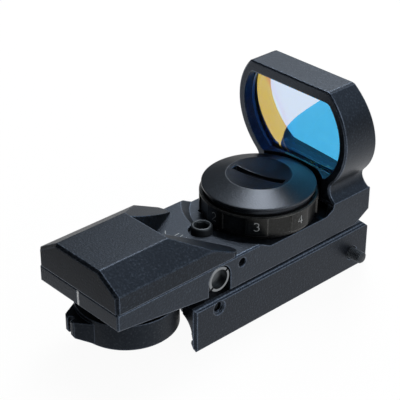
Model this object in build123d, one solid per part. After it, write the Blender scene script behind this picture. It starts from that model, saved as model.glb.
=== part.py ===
from build123d import *
import math
import os

os.makedirs("parts", exist_ok=True)

# All sizes in mm. Working frame: X right, Y forward from the rear face, Z up from the jaws' lower edge.
ORIGIN_Y = 39.98

# clearances
GAP_RUN = 0.05
GAP_SEAT = 0.03

# main housing
BODY_HALF_W = 13.9
BODY_LEN = 81.0
DECK_Z = 21.0
REAR_BOTTOM_Z = 16.7
SIDE_BOTTOM_Z = 12.55
BELLY_END_Y = 32.0
FOOT_TOP_Z = 21.7
FOOT_REAR_Y = 67.9
FOOT_FRONT_BOTTOM_Z = 15.6
FOOT_BEVEL_Y = 75.6
EDGE_BREAK = 0.35
INDEX_LINE_W = 0.8
INDEX_LINE_DEPTH = 0.12

# dial recess
DIAL_Y = 55.8
RECESS_Z = 19.2
RECESS_R = 16.8
RECESS_RIM_R = 18.9
RIM_END_R = 3.0
RECESS_HOOD_R = 15.3
RECESS_HOOD_TOP_Z = 28.7
BOARD_RECESS_R = 11.6
BOARD_RECESS_Z = 17.6
SPINDLE_R = 4.5
SPINDLE_TOP_Z = 21.1
CEILING_Z = 15.4

# hood
HOOD_R = 18.0
HOOD_TOP_Z = 52.2
HOOD_CROWN = 12.6
HOOD_CZ = HOOD_TOP_Z - HOOD_CROWN
HOOD_REAR_TOP_Y = 64.83
HOOD_REAR_SLOPE = 0.104
HOOD_FRONT_SLOPE = 0.233
HOOD_SINK = 0.6
HOOD_NECK_SAG = 1.12
HOOD_NECK_ANGLE = 45.0
HOOD_EDGE = 0.4
HOOD_BLANK_Y = 50.0
HOOD_WALL = 2.05
HOOD_CROWN_WALL = 2.9
OPEN_R = HOOD_R - HOOD_WALL
OPEN_TOP_Z = HOOD_TOP_Z - HOOD_CROWN_WALL
OPEN_BOTTOM_Z = 27.6
OPEN_CORNER_R = 1.6
LEDGE_DEPTH = 5.4
LEDGE_W = 0.75
LEDGE_T = 0.8
FLARE_DEPTH = 8.9
FLARE_END_DEPTH = 14.0
FLARE_GROWTH = 1.95

# lens
LENS_GAP = 0.08
LENS_THICK = 1.8
LENS_RADIUS = 132.0
LENS_CORNER_R = 1.5

# emitter cover
COVER_SIDE_Z = 25.5
COVER_TOP_Z = 29.4
COVER_FLAT_HALF = 7.5
COVER_FRONT_Y = 20.0
COVER_FRONT_SLOPE = 2.1
COVER_EDGE = 0.45
COVER_REAR_EDGE = 0.7
COVER_WALL = 1.7
COVER_TIP_Y = 35.6
COVER_CAVITY_TOP_Z = 28.0
NOTCH_BASE_HALF = 1.9
NOTCH_TOP_HALF = 5.2
NOTCH_BASE_SPREAD = 0.54
NOTCH_TOP_SPREAD = 0.34
WINDOW_Z = 26.0
WINDOW_HALF_W = 1.6
WINDOW_HALF_H = 1.2
WINDOW_PANE_MARGIN = 0.5
WINDOW_PANE_T = 0.7

# emitter
LED_Y = 8.6
LED_R = 1.3
LED_BOARD_T = 1.0
WIRE_X = -9.0
WIRE_X_IN = 7.4
WIRE_R = 0.4
WIRE_STEP = 1.0
WIRE_RADIUS = 0.8
WIRE_RISE_Y = 11.0
WIRE_LEVEL_Y = 8.8
WIRE_END_Y = 6.5
BOARD_X0 = -9.7
BOARD_X1 = 6.5
REAR_POCKET_Z = 17.6
REAR_POCKET_HALF_W = 10.0
REAR_POCKET_Y0 = 2.6
REAR_POCKET_Y1 = 20.0
DISC_R = 6.0
DISC_Z = 20.4
DISC_T = 0.4
MASK_R = 0.4
MIRROR_Z = 23.3
MIRROR_TILT = 52.3
MIRROR_T = 0.8
MIRROR_HALF = 2.4

# screws that hold the cover from below
COVER_SCREW_X = 10.6
COVER_SCREW_Y = 22.4
COVER_SCREW_R = 1.0
COVER_SCREW_HEAD_R = 2.0
COVER_SCREW_HEAD_Z0 = 14.4
COVER_SCREW_HEAD_Z1 = 15.8
COVER_SCREW_TOP_Z = 24.0
COVER_SCREW_SOCKET = 1.5
COVER_SCREW_SOCKET_DEPTH = 0.8

# reticle selector
SELECTOR_Y = 13.8
SELECTOR_R = 12.1
SELECTOR_TOP_Z = 13.1
SELECTOR_BOTTOM_Z = 6.4
SELECTOR_TURN = -11.3
SELECTOR_STOPS = (-30.0, 0.0, 30.0, 60.0)
SELECTOR_BALL_REACH = 6.0
LEVER_REACH = 14.8
LEVER_END_HALF = 1.95
LEVER_ROOT_U = 9.8
LEVER_ROOT_HALF = 6.0
LEVER_TOP_Z = 12.1
LEVER_TIP_BOTTOM_Z = 8.0
LEVER_NOTCH_R = 0.75
LEVER_NOTCH_DEPTH = 1.3
SHAFT_R = 3.0
SHAFT_FLANGE_R = 3.6
SHAFT_NECK_R = 2.5

# brightness dial and battery
DIAL_R = 14.5
DIAL_BOTTOM_Z = 19.4
DIAL_NECK_R = 13.85
DIAL_NECK_Z = 20.3
DIAL_TOP_Z = 25.4
DIAL_FLOOR_TOP_Z = 21.0
DIAL_CUP_R = 12.0
DIAL_STEPS = 8
DIAL_BALL_REACH = 12.9
BALL_R = 0.9
DIAL_FIRST_NUMBER_ANGLE = 43.5
DIAL_PANEL_HALF = 2.95
DIAL_PANEL_DEPTH = 0.35
DIAL_PANEL_Z1 = 24.95
SEAL_SEAT_Z = 25.05
SEAL_SEAT_R = 13.3
DIAL_BOARD_T = 0.9
WIPER_REACH = 9.0
WIPER_HALF_W = 0.8
CONTACT_OUT_R = 9.4
CONTACT_IN_R = 6.6
CONTACT_T = 0.2
RETAINER_R = 6.2
RETAINER_T = 0.4
CELL_R = 10.0
CELL_T = 3.2
CELL_Z = 22.2
CAP_R = 14.0
CAP_NECK_R = 13.4
CAP_RIM_Z = 26.8
CAP_RIM_TOP_Z = 27.4
CAP_TOP_Z = 29.4
CAP_DISH_R = 8.1
CAP_DISH_DEPTH = 1.1
CAP_SKIRT_BOTTOM_Z = 22.9
CAP_SKIRT_WALL = 1.3
COIN_SLOT_W = 1.9
COIN_SLOT_HALF = 6.9
COIN_SLOT_TURN = 15.0
COIN_SLOT_Z = 27.5
SEAL_R = 12.75
SEAL_WIRE_R = 0.45
SEAL_Z = 25.5

# elevation
ELEV_Y = 37.0
ELEV_HEAD_R = 2.6
ELEV_HEAD_TOP_Z = 22.6
ELEV_SEAT_Z = 19.8
ELEV_BORE_R = 3.25
ELEV_SHANK_R = 2.0
ELEV_BOTTOM_Z = 12.6
ELEV_SOCKET = 3.2
ELEV_SOCKET_DEPTH = 2.3
ELEV_SPRING_BORE_R = 3.7
ELEV_SPRING_BORE_Z = 17.2
LOCK_Z = 18.64
LOCK_R = 1.0
LOCK_OUT_X = 12.6

# windage
WIND_Y = 29.9
WIND_Z = 17.07
WIND_HEAD_R = 3.2
WIND_TUBE_R = 2.45
WIND_TUBE_DEPTH = 1.4
WIND_OUT_X = 13.75
WIND_HEAD_IN_X = 10.75
WIND_SHANK_R = 1.5
WIND_END_X = -6.5
WIND_SLOT_W = 0.6
WIND_SLOT_TURN = -54.0
USLOT_HALF = 3.45
EAR_X0 = 7.6
EAR_X1 = 10.6
EAR_R = 2.15
LUG_HALF_X = 3.4
LUG_HALF_Y = 3.1
LUG_TOP_Z = 19.1

# swivel plate
PLATE_Z0 = 12.25
PLATE_Z1 = 14.3
PLATE_HALF_W = 9.4
PLATE_Y0 = 26.9
PLATE_Y1 = 74.2
STUD_Y = 64.5
STUD_R = 2.5
STUD_HEAD_R = 4.2
PIN_Y = 72.0
PIN_Z = 15.3
PIN_R = 1.25
PIN_HALF = 12.0
PIN_EAR_X0 = 5.6
PIN_EAR_X1 = 9.0
CAVITY_HALF_W = 11.4
CAVITY_Y0 = 26.5
CAVITY_Y1 = 76.2

# mount base and jaws
BASE_Y0 = 22.2
BASE_TOP_Z = 12.05
JAW_X = 14.0
JAW_BEVEL = 1.0
JAW_REAR_BEVEL = 0.7
SEAT_Z = 6.4
RAIL_HALF = 10.75
RAIL_V_Z = 3.46
LIP_REACH = 1.4
LIP_FACE_Z = 1.6
BASE_LEFT_X = -9.9
JAW_INNER_X = -10.05
MOUTH_DEPTH = 3.0
MOUTH_X = 12.85
MOUTH_R = 5.2
MOUTH_Z = 9.5
DRUM_CLEAR_R = 12.85
FRONT_CORNER_R = 1.5
FRONT_SCREW_Y = 75.6
FRONT_SCREW_Z = 4.7
REAR_SCREW_Y = 29.74
REAR_SCREW_Z = 9.36
SCREW_R = 1.5
SCREW_HEAD_R = 2.5
SCREW_HEAD_H = 3.0
SCREW_HEAD_SINK = 1.6
SCREW_SOCKET = 2.5
SCREW_SOCKET_DEPTH = 1.5
FRONT_SCREW_END_X = 17.7
BOLT_GROOVE_R = 2.4
REAR_SCREW_END_X = 12.6
THREAD_MOUTH_R = 1.85
THREAD_START_X = 9.0

FAR = 60.0


def box(x0, x1, y0, y1, z0, z1):
    centre = ((x0 + x1) / 2, (y0 + y1) / 2, (z0 + z1) / 2)
    return Pos(*centre) * Box(x1 - x0, y1 - y0, z1 - z0)


def prism_x(points, x0, x1):
    face = make_face(Polyline([(x0, y, z) for y, z in points], close=True))
    return extrude(face, amount=x1 - x0, dir=(1, 0, 0))


def prism_y(points, y0, y1):
    face = make_face(Polyline([(x, y0, z) for x, z in points], close=True))
    return extrude(face, amount=y1 - y0, dir=(0, 1, 0))


def prism_z(points, z0, z1):
    face = make_face(Polyline([(x, y, z0) for x, y in points], close=True))
    return extrude(face, amount=z1 - z0, dir=(0, 0, 1))


def cyl_x(y, z, r, x0, x1):
    plane = Plane(origin=(x0, y, z), z_dir=(1, 0, 0))
    return extrude(plane * Circle(r), amount=x1 - x0)


def cyl_y(x, z, r, y0, y1):
    plane = Plane(origin=(x, y0, z), z_dir=(0, 1, 0))
    return extrude(plane * Circle(r), amount=y1 - y0)


def cyl_z(x, y, r, z0, z1):
    return extrude(Pos(x, y, z0) * Circle(r), amount=z1 - z0)


def cone_z(x, y, r0, r1, z0, z1):
    return Pos(x, y, (z0 + z1) / 2) * Cone(r0, r1, z1 - z0)


def ring_z(x, y, r_in, r_out, z0, z1):
    return extrude(Pos(x, y, z0) * (Circle(r_out) - Circle(r_in)), amount=z1 - z0)


def hex_z(x, y, across, z0, z1):
    flat = RegularPolygon(across / 2, 6, major_radius=False)
    return extrude(Pos(x, y, z0) * flat, amount=z1 - z0)


def hex_x(y, z, across, x0, x1):
    plane = Plane(origin=(x0, y, z), z_dir=(1, 0, 0))
    return extrude(plane * RegularPolygon(across / 2, 6, major_radius=False), amount=x1 - x0)


def turned(profile, x=0.0, y=0.0):
    face = make_face(Polyline([(r, 0, z) for r, z in profile], close=True))
    return Pos(x, y, 0) * revolve(face, axis=Axis.Z)


def group(parts):
    return Compound([solid for part in parts for solid in part.solids()])


def polar(reach, angle):
    turn = math.radians(angle)
    return reach * math.sin(turn), -reach * math.cos(turn)


def hood_rear_y(z):
    return HOOD_REAR_TOP_Y - HOOD_REAR_SLOPE * (z - HOOD_TOP_Z)


def hood_front_y(z):
    return BODY_LEN - HOOD_FRONT_SLOPE * (z - FOOT_TOP_Z)


def oval_face(radius, z_low, z_high, corner):
    height = z_high - z_low
    middle = (z_low + z_high) / 2 - HOOD_CZ
    face = Circle(radius) & (Pos(0, middle) * Rectangle(FAR, height))
    return fillet(face.vertices(), corner)


def oval(radius, z_low, z_high, corner):
    plane = Plane(origin=(0, HOOD_BLANK_Y, HOOD_CZ), x_dir=(1, 0, 0), z_dir=(0, -1, 0))
    face = oval_face(radius, z_low, z_high, corner)
    return extrude(plane * face, amount=FAR, dir=(0, 1, 0))


def plane_behind(depth):
    origin = (0, hood_rear_y(HOOD_CZ) + depth, HOOD_CZ)
    return Plane(origin=origin, x_dir=(1, 0, 0), z_dir=(0, -1, -HOOD_REAR_SLOPE))


def slab_behind(depth_0, depth_1):
    z0 = 15.0
    z1 = FAR
    points = [(hood_rear_y(z0) + depth_0, z0), (hood_rear_y(z1) + depth_0, z1)]
    points += [(hood_rear_y(z1) + depth_1, z1), (hood_rear_y(z0) + depth_1, z0)]
    return prism_x(points, -FAR, FAR)


def hood_ring():
    half = math.radians(HOOD_NECK_ANGLE)
    arc_x = HOOD_R * math.sin(half)
    arc_z = HOOD_CZ - HOOD_R * math.cos(half)
    low = FOOT_TOP_Z - HOOD_SINK
    run_x = arc_x - BODY_HALF_W
    run_z = arc_z - FOOT_TOP_Z
    run = math.hypot(run_x, run_z)
    neck_x = BODY_HALF_W + run_x / 2 - HOOD_NECK_SAG * run_z / run
    neck_z = FOOT_TOP_Z + run_z / 2 + HOOD_NECK_SAG * run_x / run
    right = ThreePointArc((BODY_HALF_W, 0, FOOT_TOP_Z), (neck_x, 0, neck_z), (arc_x, 0, arc_z))
    left = ThreePointArc((-arc_x, 0, arc_z), (-neck_x, 0, neck_z), (-BODY_HALF_W, 0, FOOT_TOP_Z))
    outline = [
        Line((-BODY_HALF_W, 0, low), (BODY_HALF_W, 0, low)),
        Line((BODY_HALF_W, 0, low), (BODY_HALF_W, 0, FOOT_TOP_Z)),
        right,
        Line((arc_x, 0, arc_z), (-arc_x, 0, arc_z)),
        left,
        Line((-BODY_HALF_W, 0, FOOT_TOP_Z), (-BODY_HALF_W, 0, low)),
    ]
    neck = extrude(make_face(outline), amount=FAR, dir=(0, 1, 0))
    neck = Pos(0, HOOD_BLANK_Y, 0) * neck
    ring = cyl_y(0, HOOD_CZ, HOOD_R, HOOD_BLANK_Y, HOOD_BLANK_Y + FAR)
    blank = (ring + neck) & box(-FAR, FAR, HOOD_BLANK_Y, BODY_LEN, low, HOOD_TOP_Z)
    sides = [(hood_rear_y(low), low), (hood_rear_y(HOOD_TOP_Z), HOOD_TOP_Z)]
    sides += [(hood_front_y(HOOD_TOP_Z), HOOD_TOP_Z), (hood_front_y(low), low)]
    blank = blank & prism_x(sides, -FAR, FAR)
    outer = [e for e in blank.edges() if e.center().Z > FOOT_TOP_Z + 0.2]
    return chamfer(outer, HOOD_EDGE)


def hood_opening():
    tube = oval(OPEN_R, OPEN_BOTTOM_Z, OPEN_TOP_Z, OPEN_CORNER_R)
    rear = tube & slab_behind(-5.0, LEDGE_DEPTH)
    front = tube & slab_behind(LEDGE_DEPTH + LEDGE_T, FLARE_DEPTH + 0.1)
    low = OPEN_BOTTOM_Z + LEDGE_W
    high = OPEN_TOP_Z - LEDGE_W
    ledge = oval(OPEN_R - LEDGE_W, low, high, OPEN_CORNER_R) & slab_behind(0, FLARE_DEPTH)
    near = oval_face(OPEN_R, OPEN_BOTTOM_Z, OPEN_TOP_Z, OPEN_CORNER_R)
    grow = FLARE_GROWTH
    far = oval_face(OPEN_R + grow, OPEN_BOTTOM_Z - grow, OPEN_TOP_Z + grow, OPEN_CORNER_R + grow)
    flare = loft([plane_behind(FLARE_DEPTH) * near, plane_behind(FLARE_END_DEPTH) * far], ruled=True)
    return rear + ledge + front + flare


def make_housing():
    side = [(0, REAR_BOTTOM_Z), (0, DECK_Z), (FOOT_REAR_Y, DECK_Z), (FOOT_REAR_Y, FOOT_TOP_Z)]
    side += [(BODY_LEN, FOOT_TOP_Z), (BODY_LEN, FOOT_FRONT_BOTTOM_Z), (FOOT_BEVEL_Y, SIDE_BOTTOM_Z)]
    side += [(BELLY_END_Y, SIDE_BOTTOM_Z)]
    body = prism_x(side, -BODY_HALF_W, BODY_HALF_W)
    trim = [e for e in body.edges() if e.center().Z < FOOT_TOP_Z - 0.1 and e.center().Y < FOOT_REAR_Y - 0.5]
    body = chamfer(trim, EDGE_BREAK)
    body += hood_ring()
    body -= hood_opening()

    # dial recess with its sloped rim, carried on into the hood's foot
    end_y = FOOT_REAR_Y - RIM_END_R
    ahead = box(-FAR, FAR, 0, end_y, 0, FAR) + cyl_x(end_y, FOOT_TOP_Z, RIM_END_R, -FAR, FAR)
    body -= cone_z(0, DIAL_Y, RECESS_R, RECESS_RIM_R, RECESS_Z, DECK_Z) & ahead
    body -= cyl_z(0, DIAL_Y, RECESS_R, RECESS_Z, DECK_Z)
    body -= cyl_z(0, DIAL_Y, RECESS_HOOD_R, RECESS_Z, RECESS_HOOD_TOP_Z)
    body -= cyl_z(0, DIAL_Y, BOARD_RECESS_R, BOARD_RECESS_Z, RECESS_Z)
    body += cyl_z(0, DIAL_Y, SPINDLE_R, CEILING_Z, SPINDLE_TOP_Z)
    body -= cyl_z(0, DIAL_Y, 1.2 + GAP_RUN, CEILING_Z + 1.0, SPINDLE_TOP_Z)

    # lower cavity for the swivel plate
    body -= box(-CAVITY_HALF_W, CAVITY_HALF_W, CAVITY_Y0, CAVITY_Y1, 0, CEILING_Z)
    body -= box(-CAVITY_HALF_W, CAVITY_HALF_W, CAVITY_Y0, WIND_Y + LUG_HALF_Y + 0.3, CEILING_Z - 1.0, LUG_TOP_Z + 0.35)
    body -= box(-PIN_EAR_X1 - 0.8, PIN_EAR_X1 + 0.8, PIN_Y - 3.4, CAVITY_Y1, CEILING_Z - 1.0, PIN_Z + 3.2)

    # U-slot, open downward, in the right wall
    body -= cyl_x(WIND_Y, WIND_Z, USLOT_HALF, EAR_X1, FAR)
    body -= box(EAR_X1, FAR, WIND_Y - USLOT_HALF, WIND_Y + USLOT_HALF, 0, WIND_Z)

    # elevation screw, spring and lock screw
    body -= cyl_z(0, ELEV_Y, ELEV_BORE_R, ELEV_SEAT_Z, DECK_Z + 1)
    body -= cyl_z(0, ELEV_Y, ELEV_SHANK_R + GAP_RUN, CEILING_Z - 1, ELEV_SEAT_Z)
    body -= cyl_z(0, ELEV_Y, ELEV_SPRING_BORE_R, CEILING_Z - 1, ELEV_SPRING_BORE_Z)
    body -= cyl_x(ELEV_Y, LOCK_Z, LOCK_R + GAP_RUN, 0, FAR)
    body -= Pos(BODY_HALF_W - 0.05, ELEV_Y, LOCK_Z) * (Rot(0, 90, 0) * Cone(LOCK_R, LOCK_R + 0.4, 0.6))

    # pitch pin
    body -= cyl_x(PIN_Y, PIN_Z, PIN_R + GAP_SEAT, -BODY_HALF_W - 1, PIN_HALF + GAP_SEAT)

    # rear pocket, shaft bore, wire channel
    body -= box(-REAR_POCKET_HALF_W, REAR_POCKET_HALF_W, REAR_POCKET_Y0, REAR_POCKET_Y1, REAR_POCKET_Z, FAR - 30)
    body -= cyl_z(0, SELECTOR_Y, SHAFT_R + GAP_RUN, 0, REAR_POCKET_Z)
    body -= box(WIRE_X - 0.6, -WIRE_X_IN, REAR_POCKET_Y1 - 1, DIAL_Y - 8.0, REAR_POCKET_Z + 0.1, REAR_POCKET_Z + 1.4)
    body -= box(WIRE_X - 0.6, -WIRE_X_IN, DIAL_Y - 11.4, DIAL_Y - 5.5, REAR_POCKET_Z + 0.1, RECESS_Z + 0.1)

    # bearing ring for the selector under the rear
    body += ring_z(0, SELECTOR_Y, SHAFT_R + GAP_RUN, 7.5, SELECTOR_TOP_Z + GAP_RUN, REAR_POCKET_Z - 0.5)

    # cover screws from below
    for sx in (-1, 1):
        x = sx * COVER_SCREW_X
        body -= cyl_z(x, COVER_SCREW_Y, COVER_SCREW_R + GAP_RUN, 0, DECK_Z + 1)
        body -= cyl_z(x, COVER_SCREW_Y, COVER_SCREW_HEAD_R + GAP_RUN, 0, COVER_SCREW_HEAD_Z1)

    # detent pockets
    bore = BALL_R + GAP_RUN
    body -= cyl_z(0, DIAL_Y - DIAL_BALL_REACH, bore, RECESS_Z - 2.0, RECESS_Z)
    body -= cyl_z(0, SELECTOR_Y - SELECTOR_BALL_REACH, bore, SELECTOR_TOP_Z - 1, SELECTOR_TOP_Z + 2.0)

    # index line on the rear face
    body -= box(-INDEX_LINE_W / 2, INDEX_LINE_W / 2, -1, INDEX_LINE_DEPTH, REAR_BOTTOM_Z - 1, DECK_Z)
    return body


def make_lens():
    radius = OPEN_R - LENS_GAP
    low = OPEN_BOTTOM_Z + LENS_GAP
    high = OPEN_TOP_Z - LENS_GAP
    blank = oval(radius, low, high, LENS_CORNER_R)
    tilt = math.atan(HOOD_REAR_SLOPE)
    mid_z = (low + high) / 2
    back_y = hood_rear_y(mid_z) + LEDGE_DEPTH - GAP_SEAT
    axis_y = math.cos(tilt)
    axis_z = math.sin(tilt)
    reach = LENS_RADIUS
    rear_y = back_y - LENS_THICK
    centre_rear = (0, rear_y - reach * axis_y, mid_z - reach * axis_z)
    lens = blank - Pos(*centre_rear) * Sphere(reach)
    return lens & slab_behind(-5.0, LEDGE_DEPTH - GAP_SEAT)


def make_cover():
    outline = [(-BODY_HALF_W, DECK_Z), (BODY_HALF_W, DECK_Z), (BODY_HALF_W, COVER_SIDE_Z)]
    outline += [(COVER_FLAT_HALF, COVER_TOP_Z), (-COVER_FLAT_HALF, COVER_TOP_Z), (-BODY_HALF_W, COVER_SIDE_Z)]
    cover = prism_y(outline, 0, 40.0)
    sheared = COVER_FRONT_Y + COVER_FRONT_SLOPE * COVER_TOP_Z
    keep = [(-1, 0), (sheared, 0), (sheared - COVER_FRONT_SLOPE * 40.0, 40.0), (-1, 40.0)]
    cover = cover & prism_x(keep, -FAR, FAR)
    tip = COVER_TIP_Y
    plan = [(-BODY_HALF_W, -1), (BODY_HALF_W, -1), (BODY_HALF_W, tip - 1.2), (BODY_HALF_W - 0.5, tip - 0.2)]
    plan += [(BODY_HALF_W - 1.6, tip + 1.0), (-BODY_HALF_W + 1.6, tip + 1.0)]
    plan += [(-BODY_HALF_W + 0.5, tip - 0.2), (-BODY_HALF_W, tip - 1.2)]
    cover = cover & prism_z(plan, 0, FAR)

    rear_edges = [e for e in cover.edges() if abs(e.center().Y) < 0.01 and e.center().Z > DECK_Z + 0.1]
    cover = chamfer(rear_edges, COVER_REAR_EDGE)
    crests = [e for e in cover.edges() if e.center().Z > DECK_Z + 1 and e.center().Y > COVER_REAR_EDGE + 0.1]
    crests = [e for e in crests if abs(e.tangent_at(0.5).Y) > 0.6 and e.length > 5]
    cover = fillet(crests, COVER_EDGE)

    # notch between the prongs, wider at the top than at the deck
    reach = 19.0
    base_far = NOTCH_BASE_HALF + NOTCH_BASE_SPREAD * reach
    top_far = NOTCH_TOP_HALF + NOTCH_TOP_SPREAD * reach
    y0 = COVER_FRONT_Y
    y1 = COVER_FRONT_Y + reach
    low = [(-NOTCH_BASE_HALF, y0), (NOTCH_BASE_HALF, y0), (base_far, y1), (-base_far, y1)]
    high = [(-NOTCH_TOP_HALF, y0), (NOTCH_TOP_HALF, y0), (top_far, y1), (-top_far, y1)]
    low_face = make_face(Polyline([(x, y, DECK_Z) for x, y in low], close=True))
    high_face = make_face(Polyline([(x, y, COVER_TOP_Z) for x, y in high], close=True))
    cover -= loft([low_face, high_face], ruled=True)

    # hollow for the emitter
    inner = [(-BODY_HALF_W + COVER_WALL, DECK_Z - 1), (BODY_HALF_W - COVER_WALL, DECK_Z - 1)]
    inner += [(BODY_HALF_W - COVER_WALL, 24.7), (6.9, COVER_CAVITY_TOP_Z)]
    inner += [(-6.9, COVER_CAVITY_TOP_Z), (-BODY_HALF_W + COVER_WALL, 24.7)]
    cover -= prism_y(inner, COVER_WALL, COVER_FRONT_Y - 2.2)
    half_w = WINDOW_HALF_W
    z0 = WINDOW_Z - WINDOW_HALF_H
    z1 = WINDOW_Z + WINDOW_HALF_H
    cover -= box(-half_w, half_w, COVER_FRONT_Y - 3.0, COVER_FRONT_Y + 1.0, z0, z1)

    # block that carries the fold mirror
    tilt = math.radians(MIRROR_TILT)
    along = (math.cos(tilt), math.sin(tilt))
    back = (-math.sin(tilt), math.cos(tilt))
    off = MIRROR_T + GAP_SEAT
    low_pt = (LED_Y - along[0] * MIRROR_HALF + back[0] * off, MIRROR_Z - along[1] * MIRROR_HALF + back[1] * off)
    high_pt = (LED_Y + along[0] * MIRROR_HALF + back[0] * off, MIRROR_Z + along[1] * MIRROR_HALF + back[1] * off)
    wedge = [low_pt, high_pt, (high_pt[0], COVER_CAVITY_TOP_Z + 0.5), (low_pt[0], COVER_CAVITY_TOP_Z + 0.5)]
    cover += prism_x(wedge, -MIRROR_HALF, MIRROR_HALF)

    # threaded bosses for the cover screws
    for sx in (-1, 1):
        cover -= cyl_z(sx * COVER_SCREW_X, COVER_SCREW_Y, COVER_SCREW_R + GAP_RUN, 0, COVER_SCREW_TOP_Z + 0.2)
    return cover


def make_mirror():
    plate = Box(2 * MIRROR_HALF, 2 * MIRROR_HALF, MIRROR_T)
    tilt = math.radians(MIRROR_TILT)
    lift = MIRROR_T / 2
    centre = (0, LED_Y - math.sin(tilt) * lift, MIRROR_Z + math.cos(tilt) * lift)
    return Pos(*centre) * (Rot(MIRROR_TILT, 0, 0) * plate)


def make_window():
    margin = WINDOW_PANE_MARGIN
    y1 = COVER_FRONT_Y - 2.2 - GAP_SEAT
    x = WINDOW_HALF_W + margin
    z0 = WINDOW_Z - WINDOW_HALF_H - margin
    z1 = WINDOW_Z + WINDOW_HALF_H + margin
    return box(-x, x, y1 - WINDOW_PANE_T, y1, z0, z1)


def make_led_board():
    z0 = REAR_POCKET_Z + GAP_SEAT
    y1 = SELECTOR_Y - SHAFT_FLANGE_R - 0.25
    return box(BOARD_X0, BOARD_X1, REAR_POCKET_Y0 + 0.4, y1, z0, z0 + LED_BOARD_T)


def make_led():
    z0 = REAR_POCKET_Z + 2 * GAP_SEAT + LED_BOARD_T
    body = cyl_z(0, LED_Y, LED_R, z0, z0 + 0.5)
    dome = Pos(0, LED_Y, z0 + 0.5) * Sphere(LED_R - 0.3)
    dome = dome & box(-FAR, FAR, -FAR, FAR, z0 + 0.5, FAR)
    return body + dome


def make_reticle_shaft():
    z0 = SELECTOR_TOP_Z + GAP_SEAT
    z_floor = REAR_POCKET_Z + GAP_SEAT
    shaft = cyl_z(0, SELECTOR_Y, SHAFT_R, z0, z_floor + 0.1)
    shaft += cyl_z(0, SELECTOR_Y, SHAFT_FLANGE_R, z_floor, z_floor + 0.75)
    shaft += cyl_z(0, SELECTOR_Y, SHAFT_NECK_R, z_floor, DISC_Z)
    shaft -= cyl_z(0, SELECTOR_Y, 1.0 + GAP_RUN, DISC_Z - 2.0, DISC_Z)
    shaft -= cyl_z(0, SELECTOR_Y, 1.25 + GAP_RUN, z0, z0 + 3.6)
    return shaft


def make_reticle_disc():
    disc = ring_z(0, SELECTOR_Y, 1.0 + GAP_RUN, DISC_R, DISC_Z + GAP_SEAT, DISC_Z + GAP_SEAT + DISC_T)
    for stop in SELECTOR_STOPS:
        x, y = polar(SELECTOR_Y - LED_Y, -stop)
        disc -= cyl_z(x, SELECTOR_Y + y, MASK_R, DISC_Z - 1, DISC_Z + 2)
    return disc


def make_disc_screw():
    z0 = DISC_Z + 2 * GAP_SEAT + DISC_T
    screw = cyl_z(0, SELECTOR_Y, 2.0, z0, z0 + 0.8)
    screw = chamfer(screw.edges().sort_by(Axis.Z)[-1], 0.25)
    screw += cyl_z(0, SELECTOR_Y, 1.0, DISC_Z - 1.7, z0 + 0.1)
    return screw - box(-2.5, 2.5, SELECTOR_Y - 0.2, SELECTOR_Y + 0.2, z0 + 0.45, z0 + 2)


def make_selector():
    drum = cyl_z(0, 0, SELECTOR_R, SELECTOR_BOTTOM_Z, SELECTOR_TOP_Z)
    drum = chamfer(drum.edges().sort_by(Axis.Z)[0], 0.25)
    half = LEVER_END_HALF
    root = LEVER_ROOT_HALF
    plan = [(-half, -LEVER_REACH), (half, -LEVER_REACH), (root, -LEVER_ROOT_U), (root, 0), (-root, 0)]
    plan += [(-root, -LEVER_ROOT_U)]
    lever = prism_z(plan, SELECTOR_BOTTOM_Z, LEVER_TOP_Z)
    under = [(-LEVER_REACH - 5, SELECTOR_BOTTOM_Z - 5), (-LEVER_REACH - 5, LEVER_TIP_BOTTOM_Z + 1.2)]
    under += [(-LEVER_REACH, LEVER_TIP_BOTTOM_Z), (-LEVER_ROOT_U, SELECTOR_BOTTOM_Z)]
    under += [(-LEVER_ROOT_U, SELECTOR_BOTTOM_Z - 5)]
    lever -= prism_x(under, -FAR, FAR)
    lever = chamfer([e for e in lever.edges() if e.center().Y < -LEVER_REACH + 0.01], 0.3)
    notch = cyl_z(0, -LEVER_REACH + LEVER_NOTCH_DEPTH - LEVER_NOTCH_R, LEVER_NOTCH_R, 0, FAR)
    notch += box(-LEVER_NOTCH_R, LEVER_NOTCH_R, -FAR, -LEVER_REACH + LEVER_NOTCH_DEPTH - LEVER_NOTCH_R, 0, FAR)
    lever -= notch
    knob = drum + lever
    knob -= cyl_z(0, 0, 1.25 + GAP_RUN, 0, FAR)
    knob -= cyl_z(0, 0, 2.75 + GAP_RUN, 0, SELECTOR_BOTTOM_Z + 2.3)
    knob = Pos(0, SELECTOR_Y, 0) * (Rot(0, 0, SELECTOR_TURN) * knob)
    for stop in SELECTOR_STOPS:
        x, y = polar(SELECTOR_BALL_REACH, -stop)
        knob -= Pos(x, SELECTOR_Y + y, SELECTOR_TOP_Z + BALL_R + GAP_SEAT) * Sphere(BALL_R + 0.15)
    return knob


def make_selector_screw():
    z1 = SELECTOR_BOTTOM_Z + 2.3 - GAP_SEAT
    screw = cyl_z(0, SELECTOR_Y, 2.75, z1 - 1.7, z1)
    screw = fillet(screw.edges().sort_by(Axis.Z)[0], 0.5)
    screw += cyl_z(0, SELECTOR_Y, 1.25, z1 - 0.2, SELECTOR_TOP_Z + 3.2)
    screw -= box(-3, 3, SELECTOR_Y - 0.35, SELECTOR_Y + 0.35, z1 - 2.5, z1 - 0.9)
    return screw


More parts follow.
